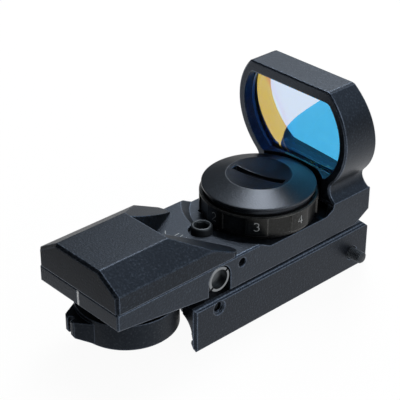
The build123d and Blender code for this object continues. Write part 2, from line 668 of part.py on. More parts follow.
def make_dial():
    dial = cyl_z(0, DIAL_Y, DIAL_R, DIAL_NECK_Z, DIAL_TOP_Z)
    dial = chamfer(dial.edges().sort_by(Axis.Z)[-1], 0.3)
    dial += cyl_z(0, DIAL_Y, DIAL_NECK_R, DIAL_BOTTOM_Z, DIAL_NECK_Z)
    dial -= cyl_z(0, DIAL_Y, DIAL_CUP_R, DIAL_FLOOR_TOP_Z, FAR)
    dial -= cyl_z(0, DIAL_Y, SEAL_SEAT_R, SEAL_SEAT_Z, FAR)
    dial -= cyl_z(0, DIAL_Y, SPINDLE_R + GAP_RUN, 0, FAR)
    step = 360.0 / DIAL_STEPS
    for k in range(DIAL_STEPS):
        panel = box(-DIAL_PANEL_HALF, DIAL_PANEL_HALF, -DIAL_R - 1, -panel_plane(), DIAL_NECK_Z, DIAL_PANEL_Z1)
        turn = DIAL_FIRST_NUMBER_ANGLE + step * (k + 0.5)
        dial -= Pos(0, DIAL_Y, 0) * (Rot(0, 0, turn) * panel)
        x, y = polar(DIAL_BALL_REACH, step * k)
        dial -= Pos(x, DIAL_Y + y, DIAL_BOTTOM_Z - BALL_R - GAP_SEAT) * Sphere(BALL_R + 0.3)
    return dial


def panel_plane():
    return math.sqrt(DIAL_R**2 - DIAL_PANEL_HALF**2) - DIAL_PANEL_DEPTH


def make_dial_board():
    z0 = BOARD_RECESS_Z + GAP_SEAT
    return ring_z(0, DIAL_Y, SPINDLE_R + 0.3, BOARD_RECESS_R - 0.3, z0, z0 + DIAL_BOARD_T)


def make_dial_wiper():
    z_low = BOARD_RECESS_Z + GAP_SEAT + DIAL_BOARD_T + 0.04
    z_high = DIAL_BOTTOM_Z - GAP_SEAT
    strip = [(-4.2, z_high), (-4.2, z_high - 0.2), (-1.6, z_high - 0.2), (-0.2, z_low), (0.6, z_low)]
    strip += [(0.6, z_low + 0.2), (0.0, z_low + 0.2), (-1.4, z_high)]
    return Pos(0, DIAL_Y + WIPER_REACH, 0) * prism_x(strip, -WIPER_HALF_W, WIPER_HALF_W)


def make_dial_retainer():
    z0 = SPINDLE_TOP_Z + GAP_SEAT
    return ring_z(0, DIAL_Y, 1.2 + GAP_RUN, RETAINER_R, z0, z0 + RETAINER_T)


def make_retainer_screw():
    z0 = SPINDLE_TOP_Z + RETAINER_T + 2 * GAP_SEAT
    screw = cyl_z(0, DIAL_Y, 2.1, z0, z0 + 0.4)
    screw += cyl_z(0, DIAL_Y, 1.2, CEILING_Z + 1.4, z0 + 0.1)
    return screw - box(-2.5, 2.5, DIAL_Y - 0.2, DIAL_Y + 0.2, z0 + 0.15, FAR)


def make_battery_contact():
    z0 = DIAL_FLOOR_TOP_Z + GAP_SEAT
    z1 = CELL_Z - GAP_SEAT
    r0 = CONTACT_IN_R
    r1 = CONTACT_OUT_R
    profile = [(r1, z0), (r1 - 0.8, z0), (r0 + 0.3, z1 - CONTACT_T), (r0, z1 - CONTACT_T), (r0, z1), (r0 + 0.4, z1)]
    profile += [(r1 - 0.6, z0 + CONTACT_T), (r1, z0 + CONTACT_T)]
    return turned(profile, 0, DIAL_Y)


def make_coin_cell():
    cell = cyl_z(0, DIAL_Y, CELL_R, CELL_Z, CELL_Z + CELL_T)
    cell = fillet(cell.edges(), 0.35)
    groove = ring_z(0, DIAL_Y, CELL_R - 1.3, CELL_R - 0.9, CELL_Z - 1, CELL_Z + 0.25)
    return cell - groove


def make_battery_cap():
    top = COIN_SLOT_Z
    skirt_in = DIAL_CUP_R - GAP_RUN - CAP_SKIRT_WALL
    ceiling = CELL_Z + CELL_T + GAP_SEAT
    profile = [(0, ceiling), (skirt_in, ceiling), (skirt_in, CAP_SKIRT_BOTTOM_Z)]
    profile += [(DIAL_CUP_R - GAP_RUN, CAP_SKIRT_BOTTOM_Z), (DIAL_CUP_R - GAP_RUN, DIAL_TOP_Z + 0.1)]
    profile += [(CAP_NECK_R, DIAL_TOP_Z + 0.1), (CAP_NECK_R, CAP_RIM_Z - 0.3), (CAP_R - 0.15, CAP_RIM_Z)]
    profile += [(CAP_R, CAP_RIM_Z + 0.15), (CAP_R, CAP_RIM_TOP_Z - 0.15), (CAP_R - 0.15, CAP_RIM_TOP_Z)]
    profile += [(CAP_DISH_R, CAP_TOP_Z), (0, CAP_TOP_Z)]
    cap = turned(profile, 0, DIAL_Y)
    dish_radius = (CAP_DISH_R**2 + CAP_DISH_DEPTH**2) / (2 * CAP_DISH_DEPTH)
    cap -= Pos(0, DIAL_Y, CAP_TOP_Z - CAP_DISH_DEPTH + dish_radius) * Sphere(dish_radius)
    half = COIN_SLOT_HALF
    slot = box(-half, half, -COIN_SLOT_W / 2, COIN_SLOT_W / 2, top, CAP_TOP_Z + 1)
    cap -= Pos(0, DIAL_Y, 0) * (Rot(0, 0, COIN_SLOT_TURN) * slot)
    cap -= seal_ring(SEAL_WIRE_R + GAP_SEAT)
    return cap


def seal_ring(wire_r):
    return Pos(0, DIAL_Y, SEAL_Z) * Torus(SEAL_R, wire_r)


def make_elevation_screw():
    z0 = ELEV_SEAT_Z + GAP_SEAT
    head = cyl_z(0, ELEV_Y, ELEV_HEAD_R, z0, ELEV_HEAD_TOP_Z)
    head = fillet(head.edges().sort_by(Axis.Z)[-1], 0.45)
    screw = head + cyl_z(0, ELEV_Y, ELEV_SHANK_R, ELEV_BOTTOM_Z, z0 + 0.1)
    z_socket = ELEV_HEAD_TOP_Z - ELEV_SOCKET_DEPTH
    screw -= hex_z(0, ELEV_Y, ELEV_SOCKET, z_socket, FAR)
    screw -= cone_z(0, ELEV_Y, 1.6, 2.05, ELEV_HEAD_TOP_Z - 0.45, ELEV_HEAD_TOP_Z + 0.05)
    return screw


def coil(radius, wire_r, length, turns):
    path = Helix(pitch=length / turns, height=length, radius=radius)
    plane = Plane(origin=path @ 0, z_dir=path % 0)
    return sweep(plane * Circle(wire_r), path=path)


def make_elevation_spring():
    wire = 0.35
    low = PLATE_Z1 + wire + 0.02
    high = ELEV_SPRING_BORE_Z - wire - 0.3
    return Pos(0, ELEV_Y, low) * coil(2.9, wire, high - low, 2.5)


def make_lock_screw():
    x0 = ELEV_SHANK_R + GAP_SEAT
    screw = cyl_x(ELEV_Y, LOCK_Z, LOCK_R, x0, LOCK_OUT_X)
    screw = chamfer(screw.edges().sort_by(Axis.X)[-1], 0.15)
    return screw - hex_x(ELEV_Y, LOCK_Z, 1.1, LOCK_OUT_X - 1.2, FAR)


def make_windage_screw():
    head = cyl_x(WIND_Y, WIND_Z, WIND_HEAD_R, WIND_HEAD_IN_X, WIND_OUT_X)
    head = fillet(head.edges().sort_by(Axis.X)[-1], 0.25)
    head -= cyl_x(WIND_Y, WIND_Z, WIND_TUBE_R, WIND_OUT_X - WIND_TUBE_DEPTH, FAR)
    slot = Box(3.0, WIND_SLOT_W, 2 * WIND_HEAD_R + 1)
    slot = Rot(WIND_SLOT_TURN, 0, 0) * slot
    head -= Pos(WIND_OUT_X + 1.5 - 0.7, WIND_Y, WIND_Z) * slot
    shank = cyl_x(WIND_Y, WIND_Z, WIND_SHANK_R, WIND_END_X, WIND_HEAD_IN_X + 0.1)
    shank = chamfer(shank.edges().sort_by(Axis.X)[0], 0.3)
    return head + shank


def make_windage_spring():
    wire = 0.22
    start = LUG_HALF_X + 0.75 + wire
    end = EAR_X0 - wire - 0.05
    spring = coil(1.9, wire, end - start, 4.0)
    return Pos(start, WIND_Y, WIND_Z) * (Rot(0, 90, 0) * spring)


def make_swivel_plate():
    plate = box(-PLATE_HALF_W, PLATE_HALF_W, PLATE_Y0, PLATE_Y1, PLATE_Z0, PLATE_Z1)
    plate += box(EAR_X0, EAR_X1, WIND_Y - EAR_R, WIND_Y + EAR_R, PLATE_Z0, WIND_Z)
    plate += cyl_x(WIND_Y, WIND_Z, EAR_R, EAR_X0, EAR_X1)
    plate = fillet([e for e in plate.edges() if abs(e.tangent_at(0.5).Z) > 0.99 and e.center().Y > 70], 1.5)
    plate -= cyl_x(WIND_Y, WIND_Z, WIND_SHANK_R + GAP_RUN, 0, FAR)
    plate -= box(-LUG_HALF_X - 0.8, LUG_HALF_X + 0.8, PLATE_Y0 - 1, WIND_Y + LUG_HALF_Y + 0.7, 0, FAR)
    plate -= cyl_z(0, ELEV_Y, ELEV_SHANK_R + 0.15, 0, FAR)
    plate -= cyl_z(0, STUD_Y, STUD_R + GAP_RUN, 0, FAR)
    for sx in (-1, 1):
        x0 = min(sx * PIN_EAR_X0, sx * PIN_EAR_X1)
        x1 = max(sx * PIN_EAR_X0, sx * PIN_EAR_X1)
        ear = box(x0, x1, PIN_Y - 2.2, PIN_Y + 2.2, PLATE_Z1 - 0.5, PIN_Z)
        ear += cyl_x(PIN_Y, PIN_Z, 2.2, x0, x1)
        plate += ear
    plate -= cyl_x(PIN_Y, PIN_Z, PIN_R + GAP_RUN, -FAR, FAR)
    plate -= box(-5.5, 5.5, 43.0, 57.0, 0, FAR)
    return plate


def make_yaw_stud():
    z0 = PLATE_Z1 + GAP_SEAT
    head = cyl_z(0, STUD_Y, STUD_HEAD_R, z0, z0 + 0.9)
    head -= hex_z(0, STUD_Y, 2.5, z0 + 0.1, FAR)
    return head + cyl_z(0, STUD_Y, STUD_R, SEAT_Z + 1.2, z0 + 0.1)


def make_pitch_pin():
    pin = cyl_x(PIN_Y, PIN_Z, PIN_R, -BODY_HALF_W + 0.15, PIN_HALF)
    return chamfer(pin.edges(), 0.2)


def make_base():
    x = JAW_X
    v_top = RAIL_HALF - (SEAT_Z - RAIL_V_Z)
    left_z = SEAT_Z - (-BASE_LEFT_X - v_top)
    outline = [(x, 0.4), (x, BASE_TOP_Z - JAW_BEVEL), (x - 0.42, BASE_TOP_Z - 0.58), (x - 0.42, BASE_TOP_Z - 0.42)]
    outline += [(x - JAW_BEVEL, BASE_TOP_Z), (BASE_LEFT_X, BASE_TOP_Z), (BASE_LEFT_X, left_z), (-v_top, SEAT_Z)]
    outline += [(v_top, SEAT_Z), (RAIL_HALF, RAIL_V_Z), (RAIL_HALF - LIP_REACH, RAIL_V_Z - LIP_REACH)]
    outline += [(RAIL_HALF - LIP_REACH, LIP_FACE_Z), (RAIL_HALF + 0.2, 0), (x - 0.4, 0)]
    base = prism_y(outline, BASE_Y0, BODY_LEN)
    base = chamfer(rear_outer_edge(base), JAW_REAR_BEVEL)
    base -= mouth_cut()
    base -= cyl_z(0, SELECTOR_Y, DRUM_CLEAR_R, -1, FAR)
    corner = [e for e in base.edges() if e.center().Y > BODY_LEN - 0.01 and e.center().Z > BASE_TOP_Z - 0.01]
    base = chamfer(corner, FRONT_CORNER_R)

    # lug for the windage thread
    base += box(-LUG_HALF_X, LUG_HALF_X, WIND_Y - LUG_HALF_Y, WIND_Y + LUG_HALF_Y, BASE_TOP_Z - 0.5, LUG_TOP_Z)
    base -= cyl_x(WIND_Y, WIND_Z, WIND_SHANK_R + 0.15, -FAR, FAR)
    base -= cyl_z(0, STUD_Y, STUD_R + GAP_SEAT, SEAT_Z - 1, FAR)
    base -= cyl_x(FRONT_SCREW_Y, FRONT_SCREW_Z, BOLT_GROOVE_R, -FAR, RAIL_HALF - LIP_REACH)

    # clamp screw holes: clear through the web, threaded in the right jaw
    for y, z in ((FRONT_SCREW_Y, FRONT_SCREW_Z), (REAR_SCREW_Y, REAR_SCREW_Z)):
        base -= cyl_x(y, z, SCREW_R + GAP_RUN, THREAD_START_X - 1, FAR)
        base -= cyl_x(y, z, SCREW_R + 0.2, -FAR, THREAD_START_X)
        base -= Pos(x, y, z) * (Rot(0, 90, 0) * Cone(SCREW_R, THREAD_MOUTH_R + 0.35, 0.7))
    return base


def rear_outer_edge(block):
    rear = [e for e in block.edges() if e.center().Y < BASE_Y0 + 0.01 and e.length > 5]
    return [e for e in rear if abs(abs(e.center().X) - JAW_X) < 0.01]


def mouth_cut():
    cx = MOUTH_X - MOUTH_R
    cz = MOUTH_Z - MOUTH_R
    y1 = BASE_Y0 + MOUTH_DEPTH
    cut = box(-FAR, cx, BASE_Y0 - 1, y1, -1, MOUTH_Z)
    cut += cyl_y(cx, cz, MOUTH_R, BASE_Y0 - 1, y1)
    hook = [(cx - 0.1, -1), (MOUTH_X + 1.3, -1), (MOUTH_X + 0.65, 0.7), (MOUTH_X - 0.3, 2.2)]
    hook += [(MOUTH_X - 0.2, 3.1), (MOUTH_X + 0.25, 3.5), (MOUTH_X, cz), (cx - 0.1, cz)]
    return cut + prism_y(hook, BASE_Y0 - 1, y1)


def make_clamp_jaw():
    x = -JAW_X
    inner = JAW_INNER_X
    v_z = RAIL_V_Z + (RAIL_HALF + inner)
    outline = [(x, 0.4), (x, BASE_TOP_Z - JAW_BEVEL), (x + JAW_BEVEL, BASE_TOP_Z), (inner, BASE_TOP_Z)]
    outline += [(inner, v_z), (-RAIL_HALF, RAIL_V_Z), (-RAIL_HALF + LIP_REACH, RAIL_V_Z - LIP_REACH)]
    outline += [(-RAIL_HALF + LIP_REACH, LIP_FACE_Z), (-RAIL_HALF - 0.2, 0), (x + 0.4, 0)]
    jaw = prism_y(outline, BASE_Y0, BODY_LEN)
    jaw = chamfer(rear_outer_edge(jaw), JAW_REAR_BEVEL)
    y1 = BASE_Y0 + MOUTH_DEPTH
    jaw -= box(-MOUTH_X, 0, BASE_Y0 - 1, y1, -1, MOUTH_Z - MOUTH_R)
    jaw -= cyl_y(-MOUTH_X + MOUTH_R, MOUTH_Z - MOUTH_R, MOUTH_R, BASE_Y0 - 1, y1)
    jaw -= cyl_z(0, SELECTOR_Y, DRUM_CLEAR_R, -1, FAR)
    corner = [e for e in jaw.edges() if e.center().Y > BODY_LEN - 0.01 and e.center().Z > BASE_TOP_Z - 0.01]
    jaw = chamfer(corner, FRONT_CORNER_R)
    for y, z in ((FRONT_SCREW_Y, FRONT_SCREW_Z), (REAR_SCREW_Y, REAR_SCREW_Z)):
        jaw -= cyl_x(y, z, SCREW_R + GAP_RUN, -FAR, 0)
        jaw -= cyl_x(y, z, SCREW_HEAD_R + GAP_RUN, -FAR, x + SCREW_HEAD_SINK)
    return jaw


def clamp_screw(y, z, end_x):
    seat = -JAW_X + SCREW_HEAD_SINK - GAP_SEAT
    head = cyl_x(y, z, SCREW_HEAD_R, seat - SCREW_HEAD_H, seat)
    head = chamfer(head.edges().sort_by(Axis.X)[0], 0.3)
    head -= hex_x(y, z, SCREW_SOCKET, seat - SCREW_HEAD_H - 1, seat - SCREW_HEAD_H + SCREW_SOCKET_DEPTH)
    shank = cyl_x(y, z, SCREW_R, seat - 0.1, end_x)
    shank = chamfer(shank.edges().sort_by(Axis.X)[-1], 0.3)
    return head + shank


def make_cover_screws():
    screws = []
    for sx in (-1, 1):
        x = sx * COVER_SCREW_X
        y = COVER_SCREW_Y
        z = COVER_SCREW_HEAD_Z0
        top = COVER_SCREW_HEAD_Z1 - GAP_SEAT
        head = cyl_z(x, y, COVER_SCREW_HEAD_R, z, top)
        head -= hex_z(x, y, COVER_SCREW_SOCKET, z - 1, z + COVER_SCREW_SOCKET_DEPTH)
        screws.append(head + cyl_z(x, y, COVER_SCREW_R, top - 0.1, COVER_SCREW_TOP_Z))
    return group(screws)


def make_selector_detent():
    return Pos(0, SELECTOR_Y - SELECTOR_BALL_REACH, SELECTOR_TOP_Z + BALL_R + GAP_SEAT) * Sphere(BALL_R)


def make_dial_detent():
    return Pos(0, DIAL_Y - DIAL_BALL_REACH, DIAL_BOTTOM_Z - BALL_R - GAP_SEAT) * Sphere(BALL_R)


def make_led_wires():
    wires = []
    for k in range(2):
        x = WIRE_X + WIRE_STEP * k
        z = REAR_POCKET_Z + 0.7
        z_end = BOARD_RECESS_Z + GAP_SEAT + DIAL_BOARD_T + WIRE_R + 0.02
        z_led = REAR_POCKET_Z + GAP_SEAT + LED_BOARD_T + WIRE_R + 0.02
        points = [(x, SELECTOR_Y - SHAFT_FLANGE_R - 1.5, z_led), (x, REAR_POCKET_Y1 - 8.0, z_led)]
        points += [(x, REAR_POCKET_Y1 - 3.0, z), (x, DIAL_Y - WIRE_RISE_Y, z)]
        points += [(x, DIAL_Y - WIRE_LEVEL_Y, z_end), (x, DIAL_Y - WIRE_END_Y, z_end)]
        path = FilletPolyline(*points, radius=WIRE_RADIUS)
        plane = Plane(origin=path @ 0, z_dir=path % 0)
        wires.append(sweep(plane * Circle(WIRE_R), path=path))
    return group(wires)


PARTS = {
    "main_housing": make_housing,
    "lens": make_lens,
    "emitter_cover": make_cover,
    "emitter_window": make_window,
    "fold_mirror": make_mirror,
    "led_board": make_led_board,
    "led": make_led,
    "reticle_shaft": make_reticle_shaft,
    "reticle_disc": make_reticle_disc,
    "disc_screw": make_disc_screw,
    "reticle_selector": make_selector,
    "selector_screw": make_selector_screw,
    "selector_detent": make_selector_detent,
    "brightness_dial": make_dial,
    "dial_board": make_dial_board,
    "dial_wiper": make_dial_wiper,
    "dial_retainer": make_dial_retainer,
    "retainer_screw": make_retainer_screw,
    "dial_detent": make_dial_detent,
    "battery_contact": make_battery_contact,
    "coin_cell": make_coin_cell,
    "battery_cap": make_battery_cap,
    "cap_seal": lambda: seal_ring(SEAL_WIRE_R),
    "elevation_screw": make_elevation_screw,
    "elevation_spring": make_elevation_spring,
    "lock_screw": make_lock_screw,
    "windage_screw": make_windage_screw,
    "windage_spring": make_windage_spring,
    "swivel_plate": make_swivel_plate,
    "yaw_stud": make_yaw_stud,
    "pitch_pin": make_pitch_pin,
    "mount_base": make_base,
    "clamp_jaw": make_clamp_jaw,
    "front_clamp_screw": lambda: clamp_screw(FRONT_SCREW_Y, FRONT_SCREW_Z, FRONT_SCREW_END_X),
    "rear_clamp_screw": lambda: clamp_screw(REAR_SCREW_Y, REAR_SCREW_Z, REAR_SCREW_END_X),
    "cover_screws": make_cover_screws,
    "led_wires": make_led_wires,
}

for name, maker in PARTS.items():
    solid = Pos(0, -ORIGIN_Y, 0) * maker()
    bounds = solid.bounding_box()
    low = ", ".join(f"{v:.2f}" for v in bounds.min)
    high = ", ".join(f"{v:.2f}" for v in bounds.max)
    print(f"{name}: solids {len(solid.solids())} box {low} to {high}")
    export_step(solid, f"parts/{name}.step")
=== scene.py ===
"""Red dot finder: finishes, figures, threads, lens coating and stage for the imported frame.

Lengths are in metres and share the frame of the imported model: +X right, +Y along the line of sight
from the eye end to the lens, +Z up, with z = 0 at the lower edge of the rail jaws.
"""

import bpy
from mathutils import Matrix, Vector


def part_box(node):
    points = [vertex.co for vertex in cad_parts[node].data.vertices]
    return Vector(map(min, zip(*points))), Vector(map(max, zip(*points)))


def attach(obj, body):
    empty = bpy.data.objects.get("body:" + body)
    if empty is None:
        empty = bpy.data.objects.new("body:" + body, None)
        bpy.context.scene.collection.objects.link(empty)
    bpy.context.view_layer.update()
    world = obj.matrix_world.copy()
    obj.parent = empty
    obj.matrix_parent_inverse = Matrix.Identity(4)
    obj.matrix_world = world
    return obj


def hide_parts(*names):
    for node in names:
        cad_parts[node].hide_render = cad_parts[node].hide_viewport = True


bl_info = {
    "name": "Red dot finder dressing",
    "version": (1, 0, 0),
    "blender": (4, 5, 0),
    "location": "View3D > Sidebar > Finder",
    "description": "Finishes, figures, threads, lens coating and stage for an open reflex red dot finder",
    "category": "Object",
}

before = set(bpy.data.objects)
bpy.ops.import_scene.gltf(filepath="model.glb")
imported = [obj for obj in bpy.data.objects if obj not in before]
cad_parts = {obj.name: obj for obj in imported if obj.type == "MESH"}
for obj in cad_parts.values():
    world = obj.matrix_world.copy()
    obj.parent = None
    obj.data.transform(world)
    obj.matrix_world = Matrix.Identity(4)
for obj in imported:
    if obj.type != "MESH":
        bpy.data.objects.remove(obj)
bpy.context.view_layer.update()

import math

import bmesh
import bpy
from bpy.props import FloatProperty, FloatVectorProperty, IntProperty, PointerProperty
from bpy.types import Operator, Panel, PropertyGroup
from mathutils import Vector

MM = 0.001

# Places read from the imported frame
DIAL_LOW, DIAL_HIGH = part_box("brightness_dial")
LENS_LOW, LENS_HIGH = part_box("lens")
DIAL_X = (DIAL_LOW.x + DIAL_HIGH.x) / 2
DIAL_Y = (DIAL_LOW.y + DIAL_HIGH.y) / 2
DIAL_RADIUS = (DIAL_HIGH.x - DIAL_LOW.x) / 2
DECK_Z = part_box("emitter_cover")[0].z
REAR_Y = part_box("main_housing")[0].y
JAW_FACE_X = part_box("mount_base")[1].x

GLASS_STRIAE = 4 * MM  # width of the faint streaks in glass


def linear(code):
    """The linear colour of an sRGB hex code such as #1e2125."""
    parts = [int(code[i:i + 2], 16) / 255 for i in (1, 3, 5)]
    return tuple(c / 12.92 if c <= 0.04045 else ((c + 0.055) / 1.055) ** 2.4 for c in parts)


def colour(name, description, code):
    """A colour setting, given as sRGB hex."""
    return FloatVectorProperty(
        name=name, description=description, default=linear(code), subtype="COLOR", size=3, min=0.0, max=1.0
    )


def length(name, description, millimetres):
    """A length setting, given in millimetres and kept in metres."""
    return FloatProperty(
        name=name, description=description, default=millimetres * MM, subtype="DISTANCE", unit="LENGTH",
        precision=5, min=0.0,
    )


class FinishSettings(PropertyGroup):
    """Colours and grain of the anodised, steel and moulded parts."""

    body_black: colour("Body black", "Anodised housing and hood", "#0b0e12")
    cover_black: colour("Cover black", "Anodised emitter cover and battery cap", "#0b0e12")
    mount_black: colour("Mount black", "Anodised rail mount and jaw", "#0e1014")
    selector_black: colour("Selector black", "Anodised reticle selector and dial", "#0b0c0d")
    sheen_tint: colour("Sheen tint", "Cool tint of the oxide layer's sheen", "#bfd8fb")
    blast_grain: length("Blast grain", "Width of one dimple of the bead-blasted surface", 0.5)
    blast_depth: length("Blast depth", "Depth of one dimple of the bead-blasted surface", 0.07)
    # Along this strip the anodised parts are also painted paler: partly wear, partly a painted highlight
    edge_width: length("Edge width", "Width of the rounded, burnished strip along an edge", 0.4)
    steel: colour("Steel", "Bare turned steel", "#b4b5b8")
    black_oxide: colour("Black oxide", "Black oxide on screws", "#30353a")
    turning_step: length("Turning step", "Spacing of the lathe's rings on turned steel", 0.12)


class OpticsSettings(PropertyGroup):
    """Lens coating and bare glass."""

    passed: colour("Passed light", "What the coated lens lets through of white", "#4ebcf2")
    # Deeper blue at the lens's left: painted shade as well as the thick coat's colour
    passed_thick_shaded: colour("Passed, thick coat", "What gets through where the coat is thickest", "#3b7ee6")
    mirrored: colour("Mirrored light", "What the coated lens mirrors of white at its left", "#cbb04b")
    mirrored_thin: colour("Mirrored, thin coat", "What it mirrors where the coat grows thinner", "#ca9244")
    mirror_radius: length("Mirror radius", "Radius of the lens's hollow rear face", 132.0)
    coating_stand_off: length("Coating stand-off", "How far the coating stands behind the glass", 0.02)
    coat_slant: FloatProperty(name="Coat slant", default=0.46,
                              description="How far the coat's bands lean to the left for each metre they rise")
    glass_mirror: FloatProperty(name="Glass mirror", description="Share of light that bare glass mirrors",
                                default=0.04, min=0.0, max=1.0, subtype="FACTOR")


class FigureSettings(PropertyGroup):
    """The dial's pale grey figures, the white index line and the scribed ticks."""

    paint: colour("Figure paint", "Pale grey paint in the dial's engraving", "#a6aaac")
    index_paint: colour("Index paint", "White paint in the index line", "#e2e4e5")
    tick_paint: colour("Tick paint", "Paler metal of the thin ticks", "#8d9396")
    height: length("Figure height", "Height of the dial's figures", 2.3)
    stroke: length("Figure stroke", "Width of the figures' stroke", 0.2)
    proud: length("Paint thickness", "How far the paint stands above the metal", 0.015)
    centre_height: length("Figure middle", "Height of the figures' middle above the dial's lower edge", 3.5)
    third_angle: FloatProperty(name="Figure 3 angle", default=math.radians(43.5), subtype="ANGLE",
                               unit="ROTATION", description="Angle of the figure 3 from the rear, to the right")
    index_width: length("Index width", "Width of the index line on the rear face", 0.62)
    index_depth: length("Index depth", "Depth of the index line's groove", 0.12)
    index_foot: length("Index foot", "Height of the index line's lower end", 17.05)
    index_gap: length("Index gap", "How far the index line stops short of the cover", 0.35)
    tick_width: length("Tick width", "Width of the ticks on the deck", 0.2)


class ThreadSettings(PropertyGroup):
    """Threads of the clamp screws and of the right jaw."""

    pitch: length("Pitch", "Thread pitch of the M3 clamp screws", 0.5)
    major: length("Major radius", "Radius over the thread's crests", 1.5)
    minor: length("Minor radius", "Radius at the thread's roots", 1.2)
    sides: IntProperty(name="Sides", description="Facets round a screw", default=48, min=12, max=96)


class StageSettings(PropertyGroup):
    """Camera, lamps and floor."""

    camera_place: FloatVectorProperty(name="Camera place", description="Where the camera stands", size=3,
                                      default=(0.19458, -0.18190, 0.18255), subtype="TRANSLATION",
                                      unit="LENGTH")
    camera_target: FloatVectorProperty(name="Camera target", description="What the camera looks at", size=3,
                                       default=(0.0, -0.00348, 0.02944), subtype="TRANSLATION", unit="LENGTH")
    focal_mm: FloatProperty(name="Focal length", description="Focal length in mm on a 36 mm sensor",
                            default=118.31, min=10.0)
    floor_white: colour("Floor white", "Pale studio floor", "#f2f3f4")
    top_power: FloatProperty(name="Top softbox", description="Power of the softbox overhead, in watts",
                             default=2.6, min=0.0, subtype="POWER", unit="POWER")
    back_power: FloatProperty(name="Back softbox", default=0.08, min=0.0, subtype="POWER", unit="POWER",
                              description="Power of the softbox behind on the left, in watts")
    side_power: FloatProperty(name="Side softbox", description="Power of the softbox on the right, in watts",
                              default=1.0, min=0.0, subtype="POWER", unit="POWER")
    room_light: FloatProperty(name="Lit end of the room", description="Brightness of the lit end of the room",
                              default=0.87, min=0.0)
    room_dim: FloatProperty(name="Unlit end of the room", description="Brightness of the end behind the camera",
                            default=0.06, min=0.0)
    lit_way: FloatVectorProperty(name="Way to the lit end", description="Direction of the room's lit end",
                                 size=3, default=(0.1, 0.75, 0.65), subtype="DIRECTION")
    shadow: FloatProperty(name="Floor shadow", default=0.05, min=0.0, max=1.0, subtype="FACTOR",
                          description="Share of the floor's brightness that shadows can take")


# ---------------------------------------------------------------- node trees

def add(tree, kind, inputs=None, **settings):
    """Adds one shader node, sets its properties and fills its inputs with values or links."""
    made = tree.nodes.new(kind)
    for name, value in settings.items():
        setattr(made, name, value)
    for socket, value in (inputs or {}).items():
        if isinstance(value, bpy.types.NodeSocket):
            tree.links.new(value, made.inputs[socket])
        else:
            made.inputs[socket].default_value = value
    return made


def place_on(tree):
    """Where a point lies on its object, in metres."""
    return add(tree, "ShaderNodeTexCoord").outputs["Object"]


def maths(tree, operation, first, second=0.0):
    """The result of one step of arithmetic."""
    return add(tree, "ShaderNodeMath", {0: first, 1: second}, operation=operation).outputs[0]


def vector_maths(tree, operation, first, second=(0, 0, 0), result=0):
    """The result of one step on vectors."""
    return add(tree, "ShaderNodeVectorMath", {0: first, 1: second}, operation=operation).outputs[result]


def spread(tree, value, low, high, start=0.0, end=1.0, curve="LINEAR"):
    """Runs from low to high as the value runs from start to end, and is held there outside them."""
    inputs = {"Value": value, "From Min": start, "From Max": end, "To Min": low, "To Max": high}
    return add(tree, "ShaderNodeMapRange", inputs, interpolation_type=curve).outputs["Result"]


def noise(tree, place, width, detail=2.0, rough=0.5):
    """A cloudy pattern with lumps about as wide as width."""
    inputs = {"Vector": place, "Scale": 1 / width, "Detail": detail, "Roughness": rough}
    return add(tree, "ShaderNodeTexNoise", inputs).outputs["Fac"]


def mix(tree, share, first, second):
    """A colour between two tones, which are linear colours or links."""
    first, second = (t if isinstance(t, bpy.types.NodeSocket) else (*t, 1.0) for t in (first, second))
    return add(tree, "ShaderNodeMixRGB", {"Fac": share, "Color1": first, "Color2": second}).outputs[0]


def bump(tree, height, depth, strength=0.5, **inputs):
    """The normal of a surface with dents of some depth."""
    inputs.update({"Height": height, "Distance": depth, "Strength": strength})
    return add(tree, "ShaderNodeBump", inputs).outputs[0]


def scaled(tone, share):
    """A linear colour made darker or brighter, up to white."""
    return tuple(min(1.0, share * c) for c in tone)


def ramp(tree, factor, stops):
    """A colour ramp through (place, linear colour) stops."""
    made = add(tree, "ShaderNodeValToRGB", {"Fac": factor})
    elements = made.color_ramp.elements
    while len(elements) < len(stops):
        elements.new(0.5)
    for element, (place, value) in zip(elements, stops):
        element.position = place
        element.color = (*value, 1.0)
    return made.outputs["Color"]


def speckled(tree, pattern, tone, darkest):
    """A tone that a pattern darkens in places, down to a share of it."""
    return ramp(tree, pattern, [(0.3, scaled(tone, darkest)), (0.7, tone)])


def new_material(name):
    """An empty material and its node tree."""
    material = bpy.data.materials.new(name)
    material.use_nodes = True
    material.node_tree.nodes.clear()
    return material, material.node_tree


def close(tree, shader):
    """Joins a shader to the material's output."""
    output = add(tree, "ShaderNodeOutputMaterial")
    tree.links.new(shader, output.inputs["Surface"])


def principled(tree, inputs):
    """Closes a material with one principled surface."""
    close(tree, add(tree, "ShaderNodeBsdfPrincipled", inputs).outputs[0])


def edge_mask(tree, width):
    """White along edges narrower than width, and the rounded normal that goes with it.

    start and full are cosines between the rounded normal and the flat one.
    """
    start, full = 0.999, 0.965
    rounded = add(tree, "ShaderNodeBevel", {"Radius": width}, samples=6).outputs["Normal"]
    flat = add(tree, "ShaderNodeNewGeometry").outputs["Normal"]
    turn = vector_maths(tree, "DOT_PRODUCT", rounded, flat, "Value")
    return spread(tree, turn, 0.0, 1.0, start, full), rounded


